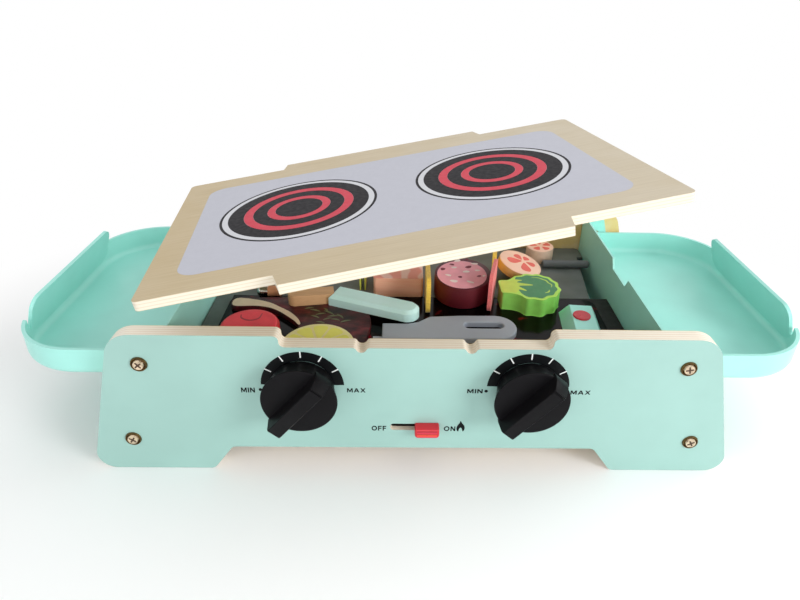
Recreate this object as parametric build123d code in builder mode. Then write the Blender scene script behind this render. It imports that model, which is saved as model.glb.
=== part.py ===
"""Toy barbecue grill box: two shaped end boards, sheet side walls, clip-on side trays,
a lift-off hob lid, two knobs, a slide switch and loose play food on the deck.
Sizes are millimetres, X to the right, Y to the back, Z up, ground at Z 0."""

import os
from math import atan2, cos, degrees, hypot, radians, sin

from build123d import *

os.makedirs("parts", exist_ok=True)

# Fits between pieces
running_gap = 0.05
small_gap = 0.2
loose_gap = 0.4

# Front and back boards
board_depth = 225.0
board_thick = 11.0
board_height = 112.5
board_foot_half = 224.0
board_lean = 0.2753
board_top_radius = 18.0
board_foot_radius = 12.0
board_arch_height = 20.3
board_arch_half = 125.5
board_arch_run = 14.75
board_arch_radius = 5.0
board_step_half = 86.8
board_step_depth = 8.3
board_step_radius = 3.6
skewer_notch_x = 35.0
skewer_notch_radius = 3.6
skewer_notch_blend = 2.5

# Screws that hold the boards to the side walls
screw_top_x = 176.6
screw_top_z = 90.4
screw_low_x = 192.3
screw_low_z = 27.3
screw_shank_radius = 2.0
screw_head_radius = 4.2
screw_head_rise = 1.9
screw_cup_radius = 5.5
screw_cup_thick = 1.1

# Side walls
wall_outer_x = 163.2
wall_thick = 1.5
wall_top_z = 108.3
wall_bend_radius = 3.0
wall_flange_inset = 13.5
wall_flange_radius = 8.0
wall_notch_y = -8.7
wall_notch_half = 14.6
wall_notch_run = 5.2
wall_notch_depth = 7.7
wall_slot_y = 55.0
wall_slot_half = 20.5
wall_slot_z = 49.0
wall_slot_height = 2.6

# Side trays
tray_outer_x = 278.3
tray_half_y = 99.2
tray_rim_z = 91.2
tray_under_z = 69.6
tray_thick = 2.4
tray_corner_radius = 49.6
tray_under_radius = 7.0
tray_wall_gap = 0.5
tray_flap_top_x = 268.7
tray_flap_top_z = 106.0
tray_flap_half = 62.0
tray_flap_radius = 9.0
tray_flap_relief = 2.3
tray_flap_relief_z = 84.0
tray_tab_half = 20.0
tray_tab_thick = 2.0
tray_tab_reach = 6.6

# Base board, lamp housing and deck
base_board_thick = 6.0
lamp_box_half_x = 152.0
lamp_box_wall = 2.5
lamp_box_front_y = -93.2
lamp_box_back_y = 8.0
cover_half_x = 45.0
cover_half_y = 28.0
cover_y = -40.0
deck_top_z = 72.5
deck_thick = 2.5
deck_edge_gap = 0.6
deck_front_gap = 2.6
window_half_x = 148.5
window_front_y = -93.0
window_back_y = 3.5
window_radius = 10.0
deck_rib_thick = 3.0
deck_rib_x = 138.0
deck_rib_front_y = 14.0
deck_gap_front_y = 5.0
deck_gap_back_y = 82.0
deck_gap_front_x = 146.8
deck_gap_back_x = 155.5

# Knobs
knob_x = 73.8
knob_z = 73.9
knob_lift = 0.3
knob_skirt_radius = 25.1
knob_skirt_height = 4.5
knob_hub_radius = 24.6
knob_hub_height = 7.0
knob_hub_taper = 28.0
knob_grip_height = 5.5
knob_grip_half = 7.6
knob_grip_tip = 28.5
knob_grip_shoulder = 22.0
knob_grip_tail = 23.5
knob_grip_slope = 5.0
knob_grip_angle = 49.0
knob_groove_width = 5.0
knob_groove_depth = 6.0
knob_mark_width = 1.2
knob_mark_length = 9.0
knob_mark_depth = 0.8
knob_mark_reach = 15.5
knob_spindle_radius = 4.0
knob_spindle_end = 1.6
knob_clip_radius = 8.0
knob_clip_thick = 1.2

# Slide switch
switch_slot_half = 16.5
switch_slot_height = 5.6
switch_slot_z = 39.2
switch_cap_x = 8.3
switch_cap_half = 8.4
switch_cap_height = 6.6
switch_cap_drop = 0.6
switch_cap_depth = 7.0
switch_cap_radius = 1.6
switch_stem_half = 4.0
switch_stem_height = 4.6
switch_shoe_half = 6.0
switch_shoe_height = 8.0
switch_shoe_thick = 2.5
switch_travel = 16.4
switch_body_half = 22.0
switch_body_height = 14.0
switch_body_depth = 8.0

# Lid, as it is held above the box
lid_length = 324.5
lid_width = 201.8
lid_thick = 6.0
lid_corner_radius = 4.0
lid_tab_half = 82.3
lid_tab_depth = 13.2
lid_tab_flare = 3.0
lid_x = -12.27
lid_y = -21.7
lid_z = 177.13
lid_angle_x = -0.90986
lid_angle_y = -9.04455
lid_angle_z = 8.59055

# Steak and the two things that lie on it
steak_thick = 4.5
steak_outline = [
    (-143.5, -13.6), (-121.5, -14.6), (-99.9, -27.7), (-86.0, -45.0), (-88.0, -65.0),
    (-80.0, -88.0), (-60.0, -94.0), (-42.0, -84.0), (-36.4, -68.7), (-32.7, -41.9),
    (-45.0, -18.0), (-70.0, -8.0), (-91.9, -4.8), (-121.4, -7.0),
]
lemon_x = -68.8
lemon_y = -73.7
lemon_radius = 25.7
lemon_thick = 3.0
lemon_edge_radius = 0.6
spreader_thick = 9.0
spreader_start_x = -63.9
spreader_start_y = -8.1
spreader_length = 72.0
spreader_turn = -21.5
spreader_width = 18.6
spreader_edge_cut = 2.5
spreader_end_radius = 9.0
stick_width = 12.0
stick_length = 36.0
stick_turn = 31.0

# Red tomato half
tomato_x = -120.8
tomato_y = -54.3
tomato_radius = 21.7
tomato_thick = 11.5
tomato_edge_radius = 4.0

# Short peg with a steel cap, at the back left
peg_y = 4.5
peg_radius = 4.5
peg_left_x = -119.0
peg_length = 10.0
peg_cap_length = 9.0

# Salmon block and the slices that stand on edge
salmon_left_x = -33.0
salmon_right_x = 7.8
salmon_front_y = 5.0
salmon_back_y = 40.0
salmon_thick = 17.5
salmon_edge_radius = 2.5
slice_corner_radius = 7.0
slice_thick = 3.4
left_slice_x = 11.0
left_slice_y = -6.0
left_slice_length = 36.0
left_slice_height = 31.5
right_slice_x = 70.0
right_slice_y = 37.5
right_slice_length = 19.2
right_slice_height = 27.5
right_slice_turn = -9.0
strip_thick = 1.0
strip_left_x = -44.5
strip_right_x = -40.5
strip_y = 25.7
strip_length = 20.5
strip_height = 15.5
ham_x = 63.4
ham_y = -2.2
ham_thick = 2.8
ham_length = 37.4
ham_height = 33.5
ham_turn = -14.1

# Salami, broccoli and the two tomato slices
salami_x = 39.8
salami_y = 10.0
salami_radius = 23.5
salami_thick = 14.0
salami_edge_radius = 1.5
broccoli_thick = 15.5
broccoli_x = 96.0
broccoli_y = -3.0
broccoli_core_radius = 17.0
broccoli_bump_count = 9
broccoli_bump_radius = 6.9
broccoli_bump_reach = 15.3
broccoli_stem_left_x = 70.2
broccoli_stem_width = 19.0
slice_big_x = 96.5
slice_big_y = 54.0
slice_big_radius = 20.0
slice_big_thick = 9.5
slice_small_x = 121.0
slice_small_y = 79.0
slice_small_radius = 13.5
slice_small_thick = 13.5
slice_edge_radius = 1.0

# Turner with a slotted handle and a flat blade
turner_thick = 4.5
turner_round_x = 61.4
turner_round_y = -45.0
turner_round_radius = 15.8
turner_slot_x = 52.7
turner_slot_y = -43.0
turner_slot_length = 30.0
turner_slot_width = 8.0
turner_edge_radius = 1.2
turner_back_edge = [(-24.0, -41.2), (-5.0, -41.6), (3.0, -39.0), (12.0, -31.5), (35.0, -29.6)]
turner_blade_thick = 2.4
turner_blade_left_x = -30.5
turner_blade_right_x = 20.0
turner_blade_front_y = -98.0
turner_blade_radius = 5.0

# Shaker block with a red button, and the grey rod
block_x = 127.4
block_y = -48.0
block_width = 29.0
block_length = 60.0
block_thick = 11.5
block_taper = 27.5
block_turn = -5.6
button_x = 126.8
button_y = -40.0
button_radius = 6.6
button_rise = 1.2
button_edge_radius = 0.5
rod_y = 61.0
rod_radius = 3.5
rod_left_x = 118.0
rod_right_x = 160.4
rod_end_radius = 1.5

# Lengths that follow from the ones above
board_outer_y = board_depth / 2
board_inner_y = board_outer_y - board_thick
wall_inner_x = wall_outer_x - wall_thick
base_board_top_z = board_arch_height + base_board_thick
deck_under_z = deck_top_z - deck_thick
steak_top_z = deck_top_z + steak_thick
front_face = Plane.XZ.offset(board_outer_y)
front_back_face = Plane.XZ.offset(board_inner_y)
lid_plane = Plane(Location((lid_x, lid_y, lid_z), (lid_angle_x, lid_angle_y, lid_angle_z)))
screw_spots = []
for side in (-1, 1):
    screw_spots.append((side * screw_top_x, screw_top_z))
    screw_spots.append((side * screw_low_x, screw_low_z))


def pick(builder, points, reach=0.5):
    """Corners of the current sketch that lie at the given points."""
    found = []
    for corner in builder.vertices():
        for x, y in points:
            if abs(corner.X - x) < reach and abs(corner.Y - y) < reach:
                found.append(corner)
                break
    return found


def both_sides(points):
    """The same points mirrored to the left as well."""
    return points + [(-x, y) for x, y in points]


def make_board(with_controls):
    """Shaped board in its front position, its face towards the viewer."""
    top_half = board_foot_half - board_lean * board_height
    arch_foot = board_arch_half + board_arch_run
    step_floor = board_height - board_step_depth
    with BuildPart() as board:
        with BuildSketch(front_back_face) as outline:
            Polygon(
                (-board_foot_half, 0),
                (board_foot_half, 0),
                (top_half, board_height),
                (-top_half, board_height),
                align=None,
            )
            Polygon(
                (-arch_foot, 0),
                (arch_foot, 0),
                (board_arch_half, board_arch_height),
                (-board_arch_half, board_arch_height),
                align=None,
                mode=Mode.SUBTRACT,
            )
            with Locations((0, board_height)):
                Rectangle(2 * board_step_half, 2 * board_step_depth, mode=Mode.SUBTRACT)
            fillet(pick(outline, both_sides([(top_half, board_height)])), board_top_radius)
            fillet(pick(outline, both_sides([(board_foot_half, 0)])), board_foot_radius)
            arch_corners = [(board_arch_half, board_arch_height), (arch_foot, 0)]
            fillet(pick(outline, both_sides(arch_corners)), board_arch_radius)
            step_corners = [(board_step_half, board_height), (board_step_half, step_floor)]
            fillet(pick(outline, both_sides(step_corners)), board_step_radius)
            with Locations((-skewer_notch_x, step_floor), (skewer_notch_x, step_floor)):
                Circle(skewer_notch_radius, mode=Mode.SUBTRACT)
            notch_corners = [
                (skewer_notch_x - skewer_notch_radius, step_floor),
                (skewer_notch_x + skewer_notch_radius, step_floor),
            ]
            fillet(pick(outline, both_sides(notch_corners)), skewer_notch_blend)
            with Locations(*screw_spots):
                Circle(screw_shank_radius + running_gap, mode=Mode.SUBTRACT)
            if with_controls:
                with Locations((-knob_x, knob_z), (knob_x, knob_z)):
                    Circle(knob_spindle_radius + running_gap, mode=Mode.SUBTRACT)
                with Locations((0, switch_slot_z)):
                    slot_width = 2 * switch_slot_half
                    RectangleRounded(slot_width, switch_slot_height, 2.0, mode=Mode.SUBTRACT)
        extrude(amount=board_thick)
    return board.part


def make_wall():
    """Right side wall: one bent sheet with a flange against each board."""
    flange_top_x = board_foot_half - board_lean * wall_top_z - wall_flange_inset
    flange_low_x = board_foot_half - board_lean * board_arch_height - wall_flange_inset
    with BuildPart() as wall:
        with BuildSketch(Plane.XY.offset(board_arch_height)) as plan:
            with Locations((wall_inner_x, 0)):
                Rectangle(
                    flange_low_x - wall_inner_x,
                    2 * board_inner_y,
                    align=(Align.MIN, Align.CENTER),
                )
            with Locations((wall_outer_x, 0)):
                Rectangle(
                    flange_low_x,
                    2 * (board_inner_y - wall_thick),
                    align=(Align.MIN, Align.CENTER),
                    mode=Mode.SUBTRACT,
                )
            bends = [(wall_inner_x, board_inner_y), (wall_inner_x, -board_inner_y)]
            fillet(pick(plan, bends), wall_bend_radius)
            inner_bends = [
                (wall_outer_x, board_inner_y - wall_thick),
                (wall_outer_x, wall_thick - board_inner_y),
            ]
            fillet(pick(plan, inner_bends), wall_bend_radius - wall_thick)
        extrude(amount=wall_top_z - board_arch_height)
        with BuildSketch(Plane.XZ) as trim:
            Polygon(
                (wall_inner_x, board_arch_height),
                (flange_low_x, board_arch_height),
                (flange_top_x, wall_top_z),
                (wall_inner_x, wall_top_z),
                align=None,
            )
            fillet(pick(trim, [(flange_top_x, wall_top_z)]), wall_flange_radius)
        extrude(amount=board_depth, both=True, mode=Mode.INTERSECT)
        with BuildSketch(Plane.YZ.offset(wall_inner_x)):
            floor_z = wall_top_z - wall_notch_depth
            Polygon(
                (wall_notch_y - wall_notch_half, floor_z),
                (wall_notch_y + wall_notch_half, floor_z),
                (wall_notch_y + wall_notch_half + wall_notch_run, wall_top_z + 1),
                (wall_notch_y - wall_notch_half - wall_notch_run, wall_top_z + 1),
                align=None,
            )
            with Locations((-wall_slot_y, wall_slot_z), (wall_slot_y, wall_slot_z)):
                Rectangle(2 * wall_slot_half, wall_slot_height)
        extrude(amount=wall_thick, mode=Mode.SUBTRACT)
        with BuildSketch(Plane.XZ):
            with Locations((screw_top_x, screw_top_z), (screw_low_x, screw_low_z)):
                Circle(screw_shank_radius + running_gap)
        extrude(amount=board_depth, both=True, mode=Mode.SUBTRACT)
    return wall.part


def make_tray():
    """Right tray: dished sheet with a taller slanted flap and two tabs that hook in."""
    inner_x = wall_outer_x + tray_wall_gap
    tray_length = tray_outer_x - inner_x
    flap_base_z = tray_under_z + tray_under_radius
    flap_run = tray_outer_x - tray_flap_top_x
    flap_rise = tray_flap_top_z - flap_base_z
    flap_length = hypot(flap_run, flap_rise)
    flap_angle = degrees(atan2(flap_run, flap_rise))
    with BuildPart() as tray:
        with BuildSketch(Plane.XY.offset(tray_under_z)) as outer:
            with Locations((inner_x, 0)):
                Rectangle(tray_length, 2 * tray_half_y, align=(Align.MIN, Align.CENTER))
            corners = [(tray_outer_x, tray_half_y), (tray_outer_x, -tray_half_y)]
            fillet(pick(outer, corners), tray_corner_radius)
        extrude(amount=tray_rim_z - tray_under_z)
        lower = tray.faces().sort_by(Axis.Z)[0]
        fillet(lower.edges().filter_by(lambda edge: edge.center().X > inner_x + 1), tray_under_radius)
        tab_top_z = tray_under_z + tray_thick / 2
        tab_low_z = wall_slot_z - tray_tab_thick / 2
        for tab_y in (-wall_slot_y, wall_slot_y):
            with BuildSketch(Plane.XZ.offset(-tab_y)):
                with Locations((inner_x, tab_low_z)):
                    Rectangle(tray_tab_thick, tab_top_z - tab_low_z, align=Align.MIN)
                with Locations((inner_x + tray_tab_thick, tab_low_z)):
                    Rectangle(
                        tray_tab_thick + tray_tab_reach,
                        tray_tab_thick,
                        align=(Align.MAX, Align.MIN),
                    )
            extrude(amount=tray_tab_half, both=True)
        with BuildSketch(Plane.XY.offset(tray_under_z + tray_thick)) as hollow:
            with Locations((inner_x + tray_thick, 0)):
                Rectangle(
                    tray_length - 2 * tray_thick,
                    2 * (tray_half_y - tray_thick),
                    align=(Align.MIN, Align.CENTER),
                )
            far_x = tray_outer_x - tray_thick
            far_y = tray_half_y - tray_thick
            fillet(pick(hollow, [(far_x, far_y), (far_x, -far_y)]), tray_corner_radius - tray_thick)
        pocket = extrude(amount=tray_rim_z, mode=Mode.PRIVATE)
        floor_face = pocket.faces().sort_by(Axis.Z)[0]
        outer_edges = floor_face.edges().filter_by(lambda edge: edge.center().X > inner_x + 4)
        pocket = pocket.fillet(tray_under_radius - tray_thick, outer_edges)
        add(pocket, mode=Mode.SUBTRACT)
        with BuildSketch(Plane.YZ.offset(tray_flap_top_x - tray_thick)):
            relief_half = tray_flap_half + tray_flap_relief
            with Locations((0, tray_flap_relief_z)):
                RectangleRounded(
                    2 * relief_half,
                    2 * (tray_rim_z - tray_flap_relief_z),
                    1,
                    align=(Align.CENTER, Align.MIN),
                )
        extrude(amount=flap_run + 2 * tray_thick, mode=Mode.SUBTRACT)
        with BuildSketch(Plane.XZ):
            Polygon(
                (tray_outer_x, flap_base_z),
                (tray_outer_x + 1, flap_base_z),
                (tray_outer_x + 1, tray_flap_top_z),
                (tray_flap_top_x, tray_flap_top_z),
                align=None,
            )
        extrude(amount=tray_flap_half, both=True, mode=Mode.SUBTRACT)
        flap_plane = Plane(
            origin=(tray_outer_x, 0, flap_base_z),
            x_dir=(0, 1, 0),
            z_dir=(cos(radians(flap_angle)), 0, sin(radians(flap_angle))),
        )
        with BuildSketch(flap_plane) as flap:
            Rectangle(
                2 * tray_flap_half,
                flap_length,
                align=(Align.CENTER, Align.MIN),
            )
            top_corners = [(tray_flap_half, flap_length), (-tray_flap_half, flap_length)]
            fillet(pick(flap, top_corners), tray_flap_radius)
        extrude(amount=-tray_thick)
    return tray.part


def make_knob(side):
    """Round knob with a raised bar grip and its spindle, at rest between marks."""
    face = Plane.XZ.offset(board_outer_y + knob_lift)
    skirt_top = Plane.XZ.offset(board_outer_y + knob_lift + knob_skirt_height)
    hub_top = skirt_top.offset(knob_hub_height)
    grip_mark = hub_top.offset(knob_grip_height)
    with BuildPart() as knob:
        with BuildSketch(face):
            with Locations((side * knob_x, knob_z)):
                Circle(knob_skirt_radius)
        extrude(amount=knob_skirt_height)
        fillet(knob.faces().sort_by(Axis.Y)[0].edges(), 1.5)
        with BuildSketch(skirt_top):
            with Locations((side * knob_x, knob_z)):
                Circle(knob_hub_radius)
        extrude(amount=knob_hub_height, taper=knob_hub_taper)
        fillet(knob.faces().sort_by(Axis.Y)[0].edges(), 2.0)
        with BuildSketch(skirt_top):
            with Locations(Location((side * knob_x, knob_z), knob_grip_angle)):
                Polygon(
                    (-knob_grip_tip, 0),
                    (-knob_grip_shoulder, -knob_grip_half),
                    (knob_grip_tail, -knob_grip_half),
                    (knob_grip_tail, knob_grip_half),
                    (-knob_grip_shoulder, knob_grip_half),
                    align=None,
                )
        extrude(amount=knob_hub_height + knob_grip_height)
        grip_axis = Axis(
            (side * knob_x, -board_outer_y, knob_z),
            (cos(radians(knob_grip_angle)), 0, sin(radians(knob_grip_angle))),
        )
        grip_top = knob.faces().sort_by(Axis.Y)[0]
        chamfer(grip_top.edges().sort_by(grip_axis)[-1], knob_grip_slope)
        with BuildSketch(grip_mark):
            with Locations(Location((side * knob_x, knob_z), knob_grip_angle)):
                with Locations((knob_mark_reach, 0)):
                    Rectangle(knob_mark_width, knob_mark_length)
        extrude(amount=-knob_mark_depth, mode=Mode.SUBTRACT)
        with BuildSketch(hub_top):
            with Locations(Location((side * knob_x, knob_z), knob_grip_angle)):
                with Locations((0, knob_grip_half + knob_groove_width / 2)):
                    Rectangle(3 * knob_grip_tip, knob_groove_width)
        extrude(amount=-knob_groove_depth, mode=Mode.SUBTRACT)
        with BuildSketch(face):
            with Locations((side * knob_x, knob_z)):
                Circle(knob_spindle_radius)
        extrude(amount=-(knob_lift + board_thick + knob_spindle_end))
    return knob.part


def make_disc(x, y, z, radius, height, edge_radius):
    """Upright disc with its rims rounded."""
    with BuildPart() as disc:
        with BuildSketch(Plane.XY.offset(z)):
            with Locations((x, y)):
                Circle(radius)
        extrude(amount=height)
        fillet(disc.faces().sort_by(Axis.Z)[-1].edges(), edge_radius)
    return disc.part


def make_slice(x, y, turn, length, thick, height):
    """Thin rounded slice that stands on its lower edge on the deck."""
    plane = Plane(Location((x, y, deck_top_z), (0, 0, turn)) * Plane.YZ.location)
    with BuildPart() as piece:
        with BuildSketch(plane) as outline:
            Rectangle(length, height, align=(Align.CENTER, Align.MIN))
            fillet(outline.vertices(), slice_corner_radius)
        extrude(amount=thick / 2, both=True)
    return piece.part


# Shaped boards

front_board = make_board(True)
front_board.label = "front_board"
export_step(front_board, "parts/front_board.step")

back_board = mirror(make_board(False), about=Plane.XZ)
back_board.label = "back_board"
export_step(back_board, "parts/back_board.step")

# Side walls

right_wall = make_wall()
right_wall.label = "right_wall"
export_step(right_wall, "parts/right_wall.step")

left_wall = mirror(right_wall, about=Plane.YZ)
left_wall.label = "left_wall"
export_step(left_wall, "parts/left_wall.step")

# Side trays

right_tray = make_tray()
right_tray.label = "right_tray"
export_step(right_tray, "parts/right_tray.step")

left_tray = mirror(right_tray, about=Plane.YZ)
left_tray.label = "left_tray"
export_step(left_tray, "parts/left_tray.step")

# Screws and cup washers

with BuildPart() as board_screws:
    for face_plane in (front_face, Plane.XZ.offset(-board_outer_y)):
        turned = 1 if face_plane == front_face else -1
        with BuildSketch(face_plane):
            with Locations(*screw_spots):
                Circle(screw_shank_radius)
        extrude(amount=-turned * (board_thick + wall_thick))
        with BuildSketch(face_plane):
            with Locations(*screw_spots):
                Circle(screw_head_radius)
        extrude(amount=turned * screw_head_rise, taper=25)
board_screws.part.label = "board_screws"
export_step(board_screws.part, "parts/board_screws.step")

with BuildPart() as screw_cups:
    for face_plane in (front_face, Plane.XZ.offset(-board_outer_y)):
        turned = 1 if face_plane == front_face else -1
        with BuildSketch(face_plane):
            with Locations(*screw_spots):
                Circle(screw_cup_radius)
                Circle(screw_head_radius, mode=Mode.SUBTRACT)
        extrude(amount=turned * screw_cup_thick, taper=20)
screw_cups.part.label = "screw_cups"
export_step(screw_cups.part, "parts/screw_cups.step")

# Base board with its battery cover, and the lamp housing above it

with BuildPart() as base_board:
    with BuildSketch(Plane.XY.offset(board_arch_height)):
        Rectangle(2 * wall_inner_x, 2 * board_inner_y)
        with Locations((0, cover_y)):
            RectangleRounded(2 * cover_half_x, 2 * cover_half_y, 4, mode=Mode.SUBTRACT)
        for end_y in (-board_inner_y, board_inner_y):
            for end_x in (-wall_inner_x, wall_inner_x):
                with Locations((end_x, end_y)):
                    Rectangle(2 * wall_bend_radius, 2 * wall_bend_radius, mode=Mode.SUBTRACT)
    extrude(amount=base_board_thick)
base_board.part.label = "base_board"
export_step(base_board.part, "parts/base_board.step")

with BuildPart() as battery_cover:
    with BuildSketch(Plane.XY.offset(board_arch_height)):
        with Locations((0, cover_y)):
            RectangleRounded(
                2 * (cover_half_x - small_gap),
                2 * (cover_half_y - small_gap),
                4 - small_gap,
            )
        with Locations((0, cover_y + cover_half_y - 8)):
            Circle(screw_shank_radius, mode=Mode.SUBTRACT)
    extrude(amount=base_board_thick)
battery_cover.part.label = "battery_cover"
export_step(battery_cover.part, "parts/battery_cover.step")

with BuildPart() as cover_screw:
    with BuildSketch(Plane.XY.offset(board_arch_height)):
        with Locations((0, cover_y + cover_half_y - 8)):
            Circle(screw_shank_radius)
    extrude(amount=base_board_thick)
    with BuildSketch(Plane.XY.offset(board_arch_height)):
        with Locations((0, cover_y + cover_half_y - 8)):
            Circle(screw_head_radius)
    extrude(amount=-screw_head_rise, taper=25)
cover_screw.part.label = "cover_screw"
export_step(cover_screw.part, "parts/cover_screw.step")

with BuildPart() as lamp_box:
    with BuildSketch(Plane.XY.offset(base_board_top_z)) as plan:
        with Locations((0, (lamp_box_front_y + lamp_box_back_y) / 2)):
            Rectangle(2 * lamp_box_half_x, lamp_box_back_y - lamp_box_front_y)
        fillet(plan.vertices(), 3)
    extrude(amount=deck_under_z - base_board_top_z)
    offset(amount=-lamp_box_wall, openings=lamp_box.faces().sort_by(Axis.Z)[0])
lamp_box.part.label = "lamp_box"
export_step(lamp_box.part, "parts/lamp_box.step")

# Deck with its dark window panel

window_y = (window_front_y + window_back_y) / 2
window_depth = window_back_y - window_front_y
deck_half_x = wall_inner_x - deck_edge_gap
deck_front_y = deck_front_gap - board_inner_y
deck_back_y = board_inner_y - deck_edge_gap
rib_height = deck_under_z - base_board_top_z
with BuildPart() as deck:
    with BuildSketch(Plane.XY.offset(deck_under_z)) as plan:
        with Locations((-deck_half_x, deck_front_y)):
            Rectangle(2 * deck_half_x, deck_back_y - deck_front_y, align=Align.MIN)
        fillet(plan.vertices(), wall_bend_radius + 1)
        with Locations((0, window_y)):
            RectangleRounded(2 * window_half_x, window_depth, window_radius, mode=Mode.SUBTRACT)
        Polygon(
            (deck_gap_front_x, deck_gap_front_y),
            (wall_inner_x, deck_gap_front_y),
            (wall_inner_x, deck_gap_back_y),
            (deck_gap_back_x, deck_gap_back_y),
            align=None,
            mode=Mode.SUBTRACT,
        )
    extrude(amount=deck_thick)
    with BuildSketch(Plane.XY.offset(base_board_top_z)):
        rib_y = (deck_rib_front_y + deck_back_y) / 2
        with Locations((-deck_rib_x, rib_y), (0, rib_y), (deck_rib_x, rib_y)):
            Rectangle(deck_rib_thick, deck_back_y - deck_rib_front_y)
    extrude(amount=rib_height)
deck.part.label = "deck"
export_step(deck.part, "parts/deck.step")

with BuildPart() as ember_panel:
    with BuildSketch(Plane.XY.offset(deck_under_z)):
        with Locations((0, window_y)):
            RectangleRounded(
                2 * (window_half_x - small_gap),
                window_depth - 2 * small_gap,
                window_radius - small_gap,
            )
    extrude(amount=deck_thick)
ember_panel.part.label = "ember_panel"
export_step(ember_panel.part, "parts/ember_panel.step")

# Knobs and the clips that hold them in

left_knob = make_knob(-1)
left_knob.label = "left_knob"
export_step(left_knob, "parts/left_knob.step")

right_knob = make_knob(1)
right_knob.label = "right_knob"
export_step(right_knob, "parts/right_knob.step")

clip_plane = Plane.XZ.offset(board_inner_y - small_gap)
for side, clip_name in ((-1, "left_knob_clip"), (1, "right_knob_clip")):
    with BuildPart() as knob_clip:
        with BuildSketch(clip_plane):
            with Locations((side * knob_x, knob_z)):
                Circle(knob_clip_radius)
                Circle(knob_spindle_radius, mode=Mode.SUBTRACT)
        extrude(amount=-knob_clip_thick)
    knob_clip.part.label = clip_name
    export_step(knob_clip.part, "parts/" + clip_name + ".step")

# Slide switch

cap_z = switch_slot_z - switch_cap_drop
with BuildPart() as switch_slider:
    with BuildSketch(Plane.XZ.offset(board_outer_y + small_gap)) as cap:
        with Locations((switch_cap_x, cap_z)):
            Rectangle(2 * switch_cap_half, switch_cap_height)
    extrude(amount=switch_cap_depth)
    fillet(switch_slider.faces().sort_by(Axis.Y)[0].edges(), switch_cap_radius)
    with BuildSketch(Plane.XZ.offset(board_outer_y + small_gap)):
        with Locations((switch_cap_x, switch_slot_z)):
            Rectangle(2 * switch_stem_half, switch_stem_height)
    extrude(amount=-(board_thick + 2 * small_gap + switch_shoe_thick))
    with BuildSketch(Plane.XZ.offset(board_inner_y - small_gap)):
        with Locations((switch_cap_x, switch_slot_z)):
            Rectangle(2 * switch_shoe_half, switch_shoe_height)
    extrude(amount=-switch_shoe_thick)
switch_slider.part.label = "switch_slider"
export_step(switch_slider.part, "parts/switch_slider.step")

shoe_room_width = 2 * switch_shoe_half + switch_travel + 2 * small_gap
shoe_room_x = switch_cap_x - switch_travel / 2
with BuildPart() as switch_body:
    with BuildSketch(front_back_face):
        with Locations((0, switch_slot_z)):
            Rectangle(2 * switch_body_half, switch_body_height)
    extrude(amount=-switch_body_depth)
    with BuildSketch(front_back_face):
        with Locations((shoe_room_x, switch_slot_z)):
            Rectangle(shoe_room_width, switch_shoe_height + 2 * small_gap)
    extrude(amount=-(switch_shoe_thick + 3 * small_gap), mode=Mode.SUBTRACT)
switch_body.part.label = "switch_body"
export_step(switch_body.part, "parts/switch_body.step")

# Lid board with a tab at the front and at the back

with BuildPart() as lid_board:
    with BuildSketch(lid_plane) as outline:
        Rectangle(lid_length, lid_width)
        fillet(outline.vertices(), lid_corner_radius)
        for end in (-1, 1):
            edge_y = end * lid_width / 2
            tab_y = end * (lid_width / 2 + lid_tab_depth)
            Polygon(
                (-lid_tab_half - lid_tab_flare, edge_y),
                (lid_tab_half + lid_tab_flare, edge_y),
                (lid_tab_half, tab_y),
                (-lid_tab_half, tab_y),
                align=None,
            )
    extrude(amount=-lid_thick)
lid_board.part.label = "lid_board"
export_step(lid_board.part, "parts/lid_board.step")

# Steak, with a lemon half slice and a spreader on top of it

with BuildPart() as steak:
    with BuildSketch(Plane.XY.offset(deck_top_z)):
        with BuildLine():
            Spline(*steak_outline, periodic=True)
        make_face()
    extrude(amount=steak_thick)
steak.part.label = "steak"
export_step(steak.part, "parts/steak.step")

lemon_slice = make_disc(lemon_x, lemon_y, steak_top_z, lemon_radius, lemon_thick, lemon_edge_radius)
lemon_slice.label = "lemon_slice"
export_step(lemon_slice, "parts/lemon_slice.step")

spreader_start = (spreader_start_x, spreader_start_y, steak_top_z)
spreader_plane = Plane(Location(spreader_start, (0, 0, spreader_turn)))
stick_plane = Plane(Location(spreader_start, (0, 0, spreader_turn + stick_turn)))
with BuildPart() as spreader_handle:
    with BuildSketch(spreader_plane) as outline:
        Rectangle(spreader_length, spreader_width, align=(Align.MIN, Align.CENTER))
        end_half = spreader_width / 2
        end_corners = [(spreader_length, end_half), (spreader_length, -end_half)]
        fillet(pick(outline, end_corners), spreader_end_radius)
    extrude(amount=spreader_thick)
    chamfer(spreader_handle.faces().sort_by(Axis.Z)[-1].edges(), spreader_edge_cut)
spreader_handle.part.label = "spreader_handle"
export_step(spreader_handle.part, "parts/spreader_handle.step")

with BuildPart() as spreader_stick:
    with BuildSketch(stick_plane) as outline:
        Rectangle(2 * stick_length, stick_width)
        Rectangle(
            2 * stick_length,
            2 * stick_width,
            align=(Align.MIN, Align.CENTER),
            mode=Mode.SUBTRACT,
        )
        stick_half = stick_width / 2
        stick_corners = [(-stick_length, stick_half), (-stick_length, -stick_half)]
        fillet(pick(outline, stick_corners), stick_half - 0.5)
    extrude(amount=spreader_thick)
    add(spreader_handle.part, mode=Mode.SUBTRACT)
spreader_stick.part.label = "spreader_stick"
export_step(spreader_stick.part, "parts/spreader_stick.step")

# Red tomato half

red_tomato = make_disc(tomato_x, tomato_y, deck_top_z, tomato_radius, tomato_thick, tomato_edge_radius)
red_tomato.label = "red_tomato"
export_step(red_tomato, "parts/red_tomato.step")

# Skewer end and its steel cap

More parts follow.
